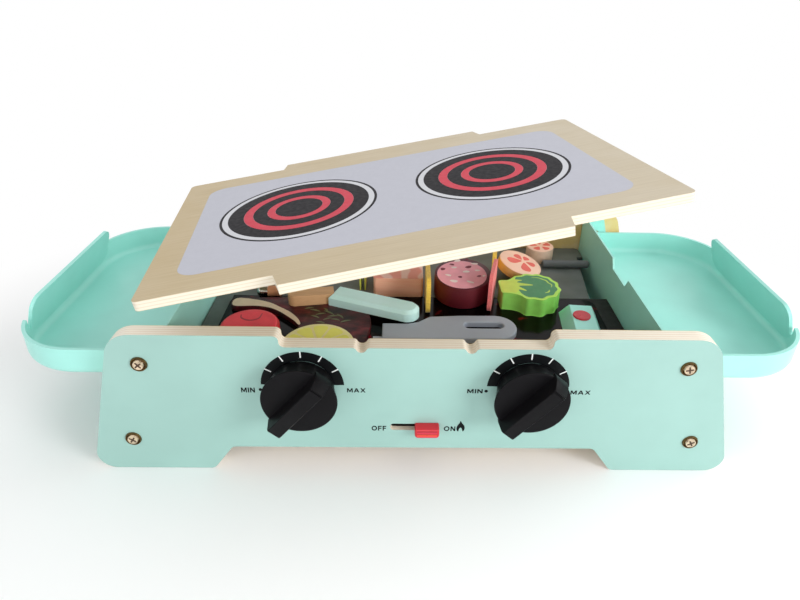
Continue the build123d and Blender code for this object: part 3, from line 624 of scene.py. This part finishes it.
# Outlines of the capitals, one unit high; a second loop is a hole
LETTERS = {
    "M": [
        [
            (0, 0), (0, 1), (0.28, 1), (0.56, 0.42), (0.84, 1), (1.12, 1), (1.12, 0), (0.90, 0),
            (0.90, 0.62), (0.64, 0.08), (0.48, 0.08), (0.22, 0.62), (0.22, 0),
        ]
    ],
    "I": [[(0, 0), (0, 1), (0.24, 1), (0.24, 0)]],
    "N": [
        [
            (0, 0), (0, 1), (0.26, 1), (0.72, 0.38), (0.72, 1), (0.94, 1), (0.94, 0), (0.68, 0),
            (0.22, 0.62), (0.22, 0),
        ]
    ],
    "A": [
        [
            (0, 0), (0.40, 1), (0.66, 1), (1.06, 0), (0.82, 0), (0.74, 0.22), (0.32, 0.22),
            (0.24, 0),
        ],
        [(0.40, 0.40), (0.66, 0.40), (0.53, 0.74)],
    ],
    "X": [
        [
            (0, 0), (0.38, 0.51), (0.02, 1), (0.29, 1), (0.52, 0.68), (0.75, 1), (1.02, 1),
            (0.66, 0.51), (1.04, 0), (0.77, 0), (0.52, 0.34), (0.27, 0),
        ]
    ],
    "F": [
        [
            (0, 0), (0, 1), (0.74, 1), (0.74, 0.80), (0.23, 0.80), (0.23, 0.59), (0.68, 0.59),
            (0.68, 0.40), (0.23, 0.40), (0.23, 0),
        ]
    ],
}


def lettering(name, words, box, matrix, finish, body):
    """Bold sans capitals fitted into left, right, low and high in millimetres."""
    loops, start = [], 0.0
    for letter in words:
        if letter == "O":
            shapes = [
                [
                    (0.56 + 0.56 * math.cos(a), 0.5 + 0.51 * math.sin(a))
                    for a in (math.pi * i / 16 for i in range(32))
                ],
                [
                    (0.56 + 0.33 * math.cos(a), 0.5 + 0.30 * math.sin(a))
                    for a in (math.pi * i / 16 for i in range(32))
                ],
            ]
        else:
            shapes = LETTERS[letter]
        loops += [[(x + start, y) for x, y in shape] for shape in shapes]
        start += max(x for x, y in shapes[0]) + 0.20
    width = start - 0.20
    left, right, low, high = box
    fitted = [
        [(left + x / width * (right - left), low + y * (high - low)) for x, y in loop]
        for loop in loops
    ]
    printed(name, fitted, matrix, finish, body)


def solid(name, mesh, matrix, finish, body, node):
    """A piece that stands for a node, smooth but for its true edges."""
    mesh.materials.append(finish)
    for face in mesh.polygons:
        face.use_smooth = True
    mesh.set_sharp_from_angle(angle=math.radians(38))
    piece = add_object(name, mesh)
    piece.matrix_world = matrix
    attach(piece, body)
    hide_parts(node)


def loft(build, rings):
    """Quads between closed rings of the same count, with both ends capped."""
    rows = [[build.verts.new(Vector(point) * MM) for point in points] for points in rings]
    count = len(rows[0])
    for low, high in zip(rows, rows[1:]):
        for i in range(count):
            build.faces.new((low[i], low[(i + 1) % count], high[(i + 1) % count], high[i]))
    build.faces.new(rows[0][::-1])
    build.faces.new(rows[-1])


def to_mesh(build, name):
    bmesh.ops.recalc_face_normals(build, faces=build.faces)
    mesh = bpy.data.meshes.new(name)
    build.to_mesh(mesh)
    build.free()
    return mesh


def cutout(name, outline, thick, edge, matrix, finish, body, node):
    """Flat piece cut along an outline, with eased edges, its base at the matrix."""
    count = len(outline)
    rings = []
    for height, inset in (
        (0.0, 0.5 * edge),
        (0.5 * edge, 0.0),
        (thick - edge, 0.0),
        (thick - 0.35 * edge, 0.25 * edge),
        (thick, edge),
    ):
        row = []
        for i, (x, y) in enumerate(outline):
            before, after = outline[i - 1], outline[(i + 1) % count]
            dx, dy = after[0] - before[0], after[1] - before[1]
            size = math.hypot(dx, dy) or 1.0
            row.append((x - dy / size * inset, y + dx / size * inset, height))
        rings.append(row)
    build = bmesh.new()
    loft(build, rings)
    solid(name, to_mesh(build, name), matrix, finish, body, node)


def knob(side, centre_x):
    """Knob that flares out from the board, with a straight grip bar across its face."""
    build = bmesh.new()
    steps = 96
    # Radius and depth of each ring of the round body
    profile = (
        (4.0, -99.9), (4.0, -112.9), (19.9, -112.9), (20.6, -113.6), (21.3, -117.0),
        (22.3, -121.5), (23.4, -125.6), (24.1, -127.5), (24.3, -128.1), (24.1, -128.6),
        (23.5, -128.8), (22.6, -128.8),
    )
    rings = []
    for radius, depth in profile:
        rings.append([
            (
                centre_x + radius * math.cos(2 * math.pi * i / steps),
                depth,
                KNOB_Z + radius * math.sin(2 * math.pi * i / steps),
            )
            for i in range(steps)
        ])
    loft(build, rings)
    face_depth, shoulder_depth = -139.0, -130
    # Outline of the grip bar along its length, with the depth of each point
    bar = (
        (-24.6, -126.0), (-25.0, -128.5), (-24.3, -137.4), (-23.9, -138.5), (-23.0, -139.0),
        (19.4, -139.0), (19.7, -138.1), (20.5, -138.0), (20.9, -138.7), (24.5, -132.4),
        (25.0, -128.5), (24.6, -126.0),
    )
    rings = []
    for v_side in (-1, -0.9, 0.9, 1):
        row = []
        for u, depth in bar:
            half = 4.7 + 0.085 * (depth - face_depth)
            pull = 0.5 if abs(v_side) == 1 else 0.0
            outer = depth + pull if depth < shoulder_depth else depth
            x, z = turned(u, v_side * half, GRIP_ANGLE, centre_x, KNOB_Z)
            row.append((x, outer, z))
        rings.append(row)
    loft(build, rings)
    name, node = side + "_knob_grip", side + "_knob"
    solid(
        name, to_mesh(build, name), Matrix.Identity(4), black_knob, node, node,
    )


def tapered(points, ends, swell):
    """Outline of a line that is widest in its middle."""
    last = len(points) - 1
    widths = [ends + swell * math.sin(math.pi * i / last) for i in range(len(points))]
    return stroke(points, widths)


def ring(x, y, radius, sides=96):
    return [
        (
            x + radius * math.cos(2 * math.pi * i / sides),
            y + radius * math.sin(2 * math.pi * i / sides),
        )
        for i in range(sides)
    ]


def rounded(low_x, low_y, high_x, high_y, radius, sides=10):
    points = []
    corners = [
        (high_x - radius, high_y - radius, 0),
        (low_x + radius, high_y - radius, 90),
        (low_x + radius, low_y + radius, 180),
        (high_x - radius, low_y + radius, 270),
    ]
    for x, y, start in corners:
        for i in range(sides + 1):
            angle = math.radians(start + 90 * i / sides)
            points.append((x + radius * math.cos(angle), y + radius * math.sin(angle)))
    return points


def blob(x, y, long, short, turn, seed):
    """Uneven oval patch."""
    wobble, sides = 0.14, 22
    chance = random.Random(seed)
    phases = [chance.uniform(0, 6.28) for _ in range(3)]
    points = []
    for i in range(sides):
        angle = 2 * math.pi * i / sides
        reach = 1 + wobble * (
            0.6 * math.sin(2 * angle + phases[0])
            + 0.5 * math.sin(3 * angle + phases[1])
            + 0.3 * math.sin(5 * angle + phases[2])
        )
        u, v = long * reach * math.cos(angle), short * reach * math.sin(angle)
        points.append(turned(u, v, turn, x, y))
    return points


def stroke(points, widths):
    """Tapered line along points, as a closed outline."""
    left, right = [], []
    for i, (x, y) in enumerate(points):
        before, after = points[max(i - 1, 0)], points[min(i + 1, len(points) - 1)]
        dx, dy = after[0] - before[0], after[1] - before[1]
        size = math.hypot(dx, dy) or 1.0
        half = widths[i] / 2
        left.append((x - dy / size * half, y + dx / size * half))
        right.append((x + dy / size * half, y - dx / size * half))
    return left + right[::-1]


def smooth(points, steps=6, closed=True):
    """Catmull-Rom curve through the points."""
    out = []
    count = len(points)
    for i in range(count if closed else count - 1):
        p = []
        for k in (-1, 0, 1, 2):
            j = (i + k) % count if closed else min(max(i + k, 0), count - 1)
            p.append(points[j])
        for step in range(steps):
            t = step / steps
            out.append(tuple(
                0.5 * (
                    2 * p[1][a]
                    + (p[2][a] - p[0][a]) * t
                    + (2 * p[0][a] - 5 * p[1][a] + 4 * p[2][a] - p[3][a]) * t * t
                    + (3 * p[1][a] - p[0][a] - 3 * p[2][a] + p[3][a]) * t ** 3
                )
                for a in (0, 1)
            ))
    if not closed:
        out.append(points[-1])
    return out


# Inks and trim paints

black_ink = ink("black_ink", linear(14, 16, 18), 0.5, 0.06, 0.12)
white_ink = ink("white_ink", linear(236, 240, 238), 0.5)
hob_grey = ink("hob_grey", linear(190, 191, 201), 0.55, 0.012, 0.3)
hob_dark = ink("hob_dark", linear(32, 30, 34), 0.55, 0.04, 0.12)
hob_red = ink("hob_red", linear(204, 68, 84), 0.55, 0.03, 0.2)
hob_white = ink("hob_white", linear(209, 210, 215), 0.55, 0.01, 0.3)
spot_white = ink("spot_white", linear(240, 222, 220))
spot_dark = ink("spot_dark", linear(124, 44, 58))
salami_pink = ink("salami_pink", linear(242, 166, 182), 0.45, 0.06)
broccoli_green = ink("broccoli_green", linear(74, 140, 96), 0.45, 0.05)
broccoli_lime = ink("broccoli_lime", linear(196, 226, 92), 0.45, 0.04)
coral = ink("coral_segments", linear(232, 106, 96), 0.45, 0.06)
herb_green = ink("herb_green", linear(112, 118, 84), 0.5, 0.15)
fat_cream = ink("fat_cream", linear(226, 206, 176), 0.45, 0.06)
pulp = ink("lemon_pulp", linear(255, 254, 124), 0.4, 0.04)
tomato_dark = ink("tomato_line", linear(172, 54, 66), 0.45, 0.06)
# Dark crosses on the screw heads: painted shade in their cross recesses
cross_recess_shade = ink("screw_recess_shade", linear(70, 48, 30), 0.5, 0.1)
# Reds for the bands on the switch cap: painted highlight and shade across its rounded face
band_light_and_shade = {
    "crimson": painted("switch_crimson", linear(206, 46, 70), 0.04, 0.3, 0.4),
    "dark": painted("switch_shade_red", linear(176, 34, 52), 0.04, 0.35, 0.45),
    "brown": painted("switch_ridge_shade_red", linear(176, 56, 36), 0.04, 0.35, 0.45),
    "bright": painted("switch_highlight_red", linear(240, 78, 62), 0.04, 0.25, 0.35),
}


# Knobs, and the prints on the front and the lid

for side, centre in (("left", -KNOB_X), ("right", KNOB_X)):
    arc = [
        (
            centre + radius * math.sin(math.radians(a)),
            KNOB_Z + radius * math.cos(math.radians(a)),
        )
        for radius, angles in (
            (DIAL_OUTER, range(-88, 89, 4)),
            (DIAL_INNER, range(88, -89, -4)),
        )
        for a in angles
    ]
    printed(side + "_dial_ring", [arc], FRONT, black_ink, "box", 0.02, 0.04)
    ticks = []
    for angle in (-60, -30, 0, 30, 60):
        s, c = math.sin(math.radians(angle)), math.cos(math.radians(angle))
        ticks.append([
            (centre + r * s + w * c, KNOB_Z + r * c - w * s)
            for r, w in ((22.5, -0.42), (27.3, -0.42), (27.3, 0.42), (22.5, 0.42))
        ])
    printed(side + "_dial_ticks", ticks, FRONT, white_ink, "box", 0.06, 0.05)

knob("left", -KNOB_X)
knob("right", KNOB_X)
dots = [ring(-101.5, 70.5, 1.15, 24), ring(46.5, 70.7, 1.15, 24)]
printed("dial_dots", dots, FRONT, black_ink, "box")
for name, words, box in (
    ("left_min", "MIN", (-114.2, -105.2, 68.1, 72.1)),
    ("left_max", "MAX", (-45.0, -32.8, 68.8, 72.2)),
    ("right_min", "MIN", (34.0, 44.2, 68.9, 72.3)),
    ("right_max", "MAX", (102.5, 115.8, 68.5, 71.8)),
    ("switch_off", "OFF", (-29.3, -19.3, 35.8, 40.0)),
    ("switch_on", "ON", (20.0, 27.9, 35.8, 40.0)),
):
    lettering(name, words, box, FRONT, black_ink, "box")
flame = smooth([
    (31.2, 44.9), (32.2, 43.0), (33.8, 40.7), (34.3, 38.4), (33.8, 36.4), (32.9, 35.6),
    (32.4, 37.6), (31.4, 39.0), (30.4, 37.6), (30.0, 35.6), (29.0, 36.4), (28.6, 38.4),
    (29.2, 40.7), (30.6, 43.0),
], 4)
printed("flame_mark", [flame], FRONT, black_ink, "box")

# Dark crosses lie on the screw heads as painted shade of their cross recesses
front_screws = FRONT @ Matrix.Translation((0, 0, SCREW_RISE))
crosses = {"front": front_screws, "back": Matrix.Rotation(math.pi, 4, "Z") @ front_screws}
for place_name, matrix in crosses.items():
    loops = []
    for (x, z), start in zip(SCREW_SPOTS, SCREW_TURNS):
        loops.append([
            turned(u, v, start + 90 * quarter, x, z)
            for quarter in range(4)
            for u, v in ((2.6, -0.5), (2.6, 0.5), (0.6, 0.6))
        ])
    printed(
        place_name + "_screw_crosses", loops, matrix, cross_recess_shade, "box",
        0.02, 0.05,
    )

hob_field = rounded(-143, -80, 138.5, 78.5, 13)
printed("hob_field", [hob_field], LID, hob_grey, "lid", 0.02, 0.04)
HOB_RINGS = (
    ("outer", hob_dark, 0.04, (55.1, 53.3)),
    ("gap", hob_white, 0.03, (53.2, 49.4)),
    ("disc", hob_dark, 0.04, (49.3, 38.5, 32.0, 22.2, 16.5)),
    ("red", hob_red, 0.04, (38.4, 32.1, 22.1, 16.6)),
)
for label, x, y in (("left", -71.5, 0.5), ("right", 67.5, 0.0)):
    for kind, finish, thick, radii in HOB_RINGS:
        rings = [ring(x, y, radius) for radius in radii]
        printed(label + "_hob_" + kind, rings, LID, finish, "lid", 0.07, thick)


# Food: pieces that stand for their nodes, and the prints on them

steak_top = level(DECK_TOP + STEAK_THICK)
steak_edge = smooth([
    (-144.3, -16.5), (-141.0, -19.9), (-135.5, -20.2), (-123.8, -19.7), (-112.6, -22.2),
    (-103.8, -27.6), (-97.0, -33.7), (-90.1, -40.6), (-86.2, -46.5), (-87.0, -56.0),
    (-88.0, -65.0), (-86.0, -78.0), (-80.0, -88.0), (-60.0, -94.0), (-42.0, -84.0),
    (-36.4, -68.7), (-32.7, -41.9), (-36.5, -26.0), (-45.0, -18.0), (-70.0, -8.0),
    (-91.9, -4.8), (-121.4, -5.2), (-138.6, -5.8), (-144.4, -9.4),
])
cutout(
    "steak_cutout", steak_edge, STEAK_THICK, 0.7, level(DECK_TOP), finishes["steak"], "steak",
    "steak",
)
fat = [
    (-143.4, -16.4), (-140.6, -18.9), (-135.5, -19.3), (-123.9, -18.8), (-112.9, -21.3),
    (-104.3, -26.8), (-97.6, -32.9), (-90.8, -39.8), (-87.0, -45.0), (-85.7, -43.2),
    (-88.9, -36.2), (-96.1, -27.4), (-105.2, -20.2), (-114.2, -13.8), (-126.1, -9.4),
    (-138.6, -7.2), (-143.3, -9.8),
]
printed("steak_fat_rim", [smooth(fat, 5)], steak_top, fat_cream, "steak")
herbs = []
shares = (0, 0.25, 0.5, 0.75, 1)
for x, y, turn, size in (
    (-77, -25, -20, 9), (-72, -30, 15, 8), (-66, -28, -35, 10), (-62, -33, 5, 9),
    (-57, -33, -48, 8), (-69, -24, -55, 6), (-60, -38, -15, 7), (-76, -34, -30, 8),
    (-66, -37, 25, 7), (-82, -22, 12, 7), (-71, -42, -12, 7), (-52, -40, 20, 8),
):
    line = [turned((t - 0.5) * size, 0.8 * math.sin(3 * t), turn, x, y) for t in shares]
    herbs.append(stroke(line, (0.4, 1.4, 1.8, 1.3, 0.4)))
for number, loop in enumerate(herbs):
    printed(
        "steak_herb_%d" % number, [loop], steak_top, herb_green, "steak",
        0.03 + 0.01 * number, 0.05,
    )

tomato_arc = smooth(
    [(-129.2, -42.7), (-127.6, -47.8), (-121.0, -50.6), (-115.2, -47.8), (-113.9, -40.8)],
    5, False,
)
printed(
    "tomato_arc", [tapered(tomato_arc, 0.4, 1.2)], level(TOMATO_TOP), tomato_dark, "red_tomato",
)

segments = []
drop = (
    (3.0, 0.0), (8.0, 1.6), (14.0, 3.6), (19.0, 5.2), (21.9, 4.6), (23.0, 0.0), (21.9, -4.6),
    (19.0, -5.2), (14.0, -3.6), (8.0, -1.6),
)
for number in range(10):
    angle = 36 * number + 18
    segments.append(smooth([turned(u, v, angle, -68.8, -73.7) for u, v in drop], 4))
printed("lemon_segments", segments, level(LEMON_TOP), pulp, "lemon_slice")

salami_place = Matrix.Translation((0.0403, 0.0095, 0.0747)) @ Matrix.Rotation(0.09, 4, "X")
cutout(
    "salami_cutout", ring(0, 0, 23.3, 120), SALAMI_THICK, 1.0, salami_place, salami_print,
    "salami", "salami",
)
# The spots are measured from the middle of the grill, so this frame moves back to it
salami_top = salami_place @ Matrix.Translation((-0.0398, -0.0100, SALAMI_THICK * MM))
printed(
    "salami_face", [ring(-1.1, -1.6, 20.2, 64)], salami_place @ level(SALAMI_THICK), salami_pink,
    "salami", 0.02, 0.04,
)
# Middle, half length, half width and turn of each spot
white_spots = (
    (36.5, 29.0, 3.0, 1.5, 20), (50.5, 24.5, 2.9, 1.4, -10), (33.0, 18.5, 2.4, 1.3, 0),
    (42.5, 12.5, 2.6, 1.7, 5), (52.0, 14.5, 2.0, 1.2, 0), (27.5, 7.0, 2.6, 1.2, -15),
    (31.5, -1.5, 3.4, 1.7, -15), (44.5, -2.5, 3.0, 1.3, -25), (26.5, 27.5, 1.8, 0.9, 30),
    (56.5, 6.5, 1.6, 0.9, 40),
)
spots = [blob(x, y, a, b, t, n) for n, (x, y, a, b, t) in enumerate(white_spots)]
printed(
    "salami_white_spots", spots, salami_top, spot_white, "salami", 0.08, 0.04,
)
dark_spots = (
    (44.5, 31.5, 1.8, 1.3, 10), (31.5, 23.0, 1.9, 1.3, -20), (23.5, 16.0, 2.0, 1.9, 0),
    (45.0, 19.5, 2.9, 1.7, 20), (37.0, 4.5, 1.8, 1.3, 0), (52.5, 6.0, 1.8, 1.3, 30),
)
spots = [blob(x, y, a, b, t, 20 + n) for n, (x, y, a, b, t) in enumerate(dark_spots)]
printed(
    "salami_dark_spots", spots, salami_top, spot_dark, "salami", 0.08, 0.04,
)

floret = smooth([
    (70.4, -11.5), (70.2, -3.0), (70.4, 6.2), (77.0, 7.2), (81.0, 10.0), (84.6, 14.0),
    (90.0, 15.4), (94.0, 18.2), (99.6, 17.2), (104.0, 18.0), (108.6, 14.6), (112.6, 12.6),
    (114.4, 7.8), (117.4, 3.6), (116.6, -1.8), (117.6, -7.4), (114.4, -12.2), (111.4, -17.6),
    (105.6, -19.4), (100.6, -23.6), (94.0, -22.0), (88.4, -21.6), (84.4, -16.4), (78.6, -13.6),
    (73.0, -12.6),
], 5)
broccoli_place = level(DECK_TOP)
cutout(
    "broccoli_cutout", floret, BROCCOLI_THICK, 0.6, broccoli_place, broccoli_print, "broccoli",
    "broccoli",
)
broccoli_top = level(DECK_TOP + BROCCOLI_THICK)
crown = smooth([
    (85.0, 12.6), (90.2, 13.8), (94.2, 16.2), (99.6, 15.2), (103.6, 15.8), (107.6, 12.8),
    (111.0, 11.0), (112.6, 6.8), (115.2, 3.0), (114.6, -1.8), (115.4, -6.8), (112.6, -11.0),
    (109.8, -15.8), (104.8, -17.4), (100.2, -21.2), (94.4, -19.8), (89.6, -19.4), (86.0, -15.2),
    (84.0, -9.0), (83.0, 0.0), (83.6, 8.0),
], 5)
printed(
    "broccoli_crown", [crown], broccoli_top, broccoli_green, "broccoli", 0.02,
    0.04,
)
stem = smooth([
    (71.4, -11.0), (71.2, 5.2), (78.4, 6.2), (82.6, 8.8), (87.4, 8.2), (89.2, 7.4), (85.0, 5.2),
    (85.6, 3.4), (95.6, 0.6), (95.8, -0.8), (86.0, -1.6), (85.6, -3.4), (89.8, -8.4),
    (89.0, -9.6), (84.4, -7.8), (81.6, -12.6), (78.0, -12.4),
], 4)
printed(
    "broccoli_stem", [stem], broccoli_top, broccoli_lime, "broccoli", 0.07, 0.04,
)
for number, points in enumerate((
    [
        (98.0, 12.4), (103.0, 12.0), (106.4, 9.6), (109.0, 7.4), (110.2, 3.6), (112.2, 0.4),
        (111.0, -3.6),
    ],
    [(108.6, -8.0), (107.4, -11.0), (104.2, -12.6)],
)):
    line = smooth(points, 5, False)
    printed(
        "broccoli_arc_%d" % number, [tapered(line, 0.3, 0.8)], broccoli_top, broccoli_lime,
        "broccoli", 0.07, 0.04,
    )

slice_place = (
    Matrix.Translation((0.0946, 0.0445, 0.0856))
    @ Matrix.Rotation(math.radians(5), 4, "X")
    @ Matrix.Rotation(math.radians(15), 4, "Y")
    @ level(-SLICE_THICK)
)
cutout(
    "large_slice_cutout", ring(0, 0, 19.2, 96), SLICE_THICK, 0.8, slice_place, slice_print,
    "large_tomato_slice", "large_tomato_slice",
)
large_segments = []
# Direction, inner and outer reach and half width of each segment
for angle, start, end, half in (
    (196, 1.6, 16.0, 4.4), (128, 2.0, 10.6, 3.6), (272, 3.0, 16.6, 4.6), (340, 2.6, 11.0, 3.4),
    (58, 2.0, 9.0, 3.0),
):
    span = end - start
    shape = [
        (start, 0),
        (start + 0.3 * span, 0.6 * half),
        (start + 0.65 * span, half),
        (end - 0.08 * span, 0.75 * half),
        (end, 0),
    ]
    shape += [(u, -v) for u, v in shape[3:0:-1]]
    large_segments.append(smooth([turned(u, v, angle, 3.2, 3.6) for u, v in shape], 5))
printed(
    "large_slice_segments", large_segments, slice_place @ level(SLICE_THICK), coral,
    "large_tomato_slice",
)
small_place = Matrix.Translation((0.1188, 0.0792, DECK_TOP * MM))
cutout(
    "small_slice_cutout", ring(0, 0, 12.4, 80), SMALL_SLICE_THICK, 0.8, small_place,
    small_slice_print, "small_tomato_slice", "small_tomato_slice",
)
small_segments = []
shape = [(-3.4, 0), (0.4, 2.6), (2.8, 3.0), (4.0, 0), (2.8, -3.0), (0.4, -2.6)]
for angle in (20, 92, 164, 236, 308):
    small_segments.append(smooth([turned(6.0 + u, v, angle) for u, v in shape], 5))
printed(
    "small_slice_segments", small_segments, small_place @ level(SMALL_SLICE_THICK), coral,
    "small_tomato_slice",
)


# Cap of the slide switch, with bands of painted highlight and shade across its rounded face

mid_x, mid_z = SWITCH_MIDDLE
cap = rounded(0.0, 35.3, 16.6, 43.1, 2.2, 8)
cap = [(x, z if z < 41 else min(z + 0.6, 43.1)) for x, z in cap]
build = bmesh.new()
rings = []
for depth, inset in (
    (-98.8, 3.4), (-112.4, 3.4), (-112.7, 0.0), (-118.2, 0.0), (-119.2, 0.35), (-119.6, 1.1),
):
    wide = 1 - inset / mid_x
    tall = wide if inset > 3 else 1 - inset / 3.9
    rings.append(
        [(mid_x + (x - mid_x) * wide, depth, mid_z + (z - mid_z) * tall) for x, z in cap]
    )
loft(build, rings)
solid(
    "switch_cap", to_mesh(build, "switch_cap"), Matrix.Identity(4), red_plastic,
    "switch_slider", "switch_slider",
)
band_face = Matrix.Translation((0, -0.0071, 0)) @ FRONT
# Bands of painted highlight and shade across the cap
for number, (low, high, tone) in enumerate((
    (40.6, 42.0, "dark"), (39.3, 40.5, "crimson"), (38.5, 39.2, "brown"),
    (37.4, 38.4, "bright"), (36.4, 37.3, "crimson"),
)):
    band = rounded(1.5, low, 15.1, high, 0.3, 4)
    printed(
        "switch_band_%d" % number, [band], band_face, band_light_and_shade[tone], "switch_slider",
        0.0, 0.16,
    )


# Floor, light and camera

def plane(name, size, height):
    mesh = bpy.data.meshes.new(name)
    mesh.from_pydata(
        [
            (-size, -size, height), (size, -size, height), (size, size, height),
            (-size, size, height),
        ],
        [],
        [(0, 1, 2, 3)],
    )
    return add_object(name, mesh)


def seen_rays(tree):
    """1 for rays that show the backdrop, straight, mirrored or through glass."""
    rays = tree.nodes.new("ShaderNodeLightPath")
    seen = calculate(
        tree, "MAXIMUM", rays.outputs["Is Camera Ray"], rays.outputs["Is Glossy Ray"],
    )
    return calculate(tree, "MAXIMUM", seen, rays.outputs["Is Transmission Ray"])


# White floor that fades, away from the grill, into an even glow for the rays that show it

floor = plane("floor", 8.0, -0.0002)
floor_finish, floor_tree, floor_shader = material("floor_white", roughness=0.9, specular=0.0)
floor_shader.inputs["Base Color"].default_value = (0.96, 0.96, 0.96, 1)
floor_glow = floor_tree.nodes.new("ShaderNodeEmission")
floor_glow.inputs["Strength"].default_value = 1.0
spread = floor_tree.nodes.new("ShaderNodeVectorMath")
spread.operation = "LENGTH"
floor_tree.links.new(place(floor_tree, (1.0, 1.25, 1.0)), spread.inputs[0])
fade = remap(floor_tree, spread.outputs["Value"], 0.34, 0.52)
fade.node.interpolation_type = "SMOOTHSTEP"
floor_mask = calculate(floor_tree, "MULTIPLY", fade, seen_rays(floor_tree))
floor_mix = floor_tree.nodes.new("ShaderNodeMixShader")
floor_tree.links.new(floor_mask, floor_mix.inputs["Fac"])
floor_tree.links.new(floor_shader.outputs[0], floor_mix.inputs[1])
floor_tree.links.new(floor_glow.outputs[0], floor_mix.inputs[2])
floor_tree.links.new(
    floor_mix.outputs[0],
    floor_tree.nodes["Material Output"].inputs["Surface"],
)
floor.data.materials.append(floor_finish)

# White backdrop, while the light that the sky gives is softer

world = bpy.data.worlds.new("studio")
bpy.context.scene.world = world
world.use_nodes = True
world_tree = world.node_tree
sky = world_tree.nodes["Background"]
sky.inputs["Color"].default_value = (1, 1, 1, 1)
sky.inputs["Strength"].default_value = 0.70
white = world_tree.nodes.new("ShaderNodeBackground")
white.inputs["Color"].default_value = (1, 1, 1, 1)
white.inputs["Strength"].default_value = 1.0
chosen = world_tree.nodes.new("ShaderNodeMixShader")
world_tree.links.new(seen_rays(world_tree), chosen.inputs["Fac"])
world_tree.links.new(sky.outputs[0], chosen.inputs[1])
world_tree.links.new(white.outputs[0], chosen.inputs[2])
world_tree.links.new(chosen.outputs[0], world_tree.nodes["World Output"].inputs["Surface"])


def area(name, spot, target, size, power):
    data = bpy.data.lights.new(name, "AREA")
    data.shape = "DISK"
    data.size = size
    data.energy = power
    made = add_object(name, data)
    made.location = spot
    made.rotation_mode = "QUATERNION"
    made.rotation_quaternion = (Vector(target) - Vector(spot)).to_track_quat("-Z", "Y")


# Name, place, what it faces, size in metres and power in watts

area("key", (1.02, -0.80, 0.50), (0.0, 0.0, 0.07), 0.6, 6.0)
area("far_key", (1.6, -1.45, 0.80), (0.0, 0.0, 0.07), 0.9, 12.0)
area("front", (0.15, -1.9, 0.45), (0.0, 0.0, 0.08), 0.9, 5.5)
area("fill", (-1.2, -1.2, 0.60), (0.0, 0.0, 0.08), 1.0, 3.2)
area("right", (1.3, 0.3, 0.9), (0.0, 0.0, 0.08), 0.8, 4.0)
area("overhead", (0.1, 0.3, 1.8), (0.0, 0.0, 0.08), 1.4, 3.5)

# Camera fitted to the photograph: lens in millimetres, turns in radians

camera_data = bpy.data.cameras.new("photo_camera")
camera_data.lens = 26.96
camera_data.sensor_width = 36.0
camera_data.shift_x = -0.0156
camera_data.shift_y = -0.0383
camera_data.clip_start = 0.01
camera_data.clip_end = 50.0
camera = add_object("photo_camera", camera_data)
yaw, pitch, roll = -0.0217, 0.4891, 0.0221
swing = Matrix(
    ((math.cos(yaw), math.sin(yaw), 0), (-math.sin(yaw), math.cos(yaw), 0), (0, 0, 1))
)
nod = Matrix(
    ((1, 0, 0), (0, math.cos(pitch), -math.sin(pitch)), (0, math.sin(pitch), math.cos(pitch)))
)
back_to_world = (nod @ swing).transposed()
right_way = back_to_world @ Vector((math.cos(roll), 0, math.sin(roll)))
up_way = back_to_world @ Vector((-math.sin(roll), 0, math.cos(roll)))
forward = back_to_world @ Vector((0, 1, 0))
turn = Matrix((right_way, up_way, -forward)).transposed()
camera.matrix_world = Matrix.LocRotScale(
    Vector((-0.01053, -0.42257, 0.32599)),
    turn.to_quaternion(),
    None,
)
bpy.context.scene.camera = camera
bpy.context.scene.view_settings.view_transform = "Standard"
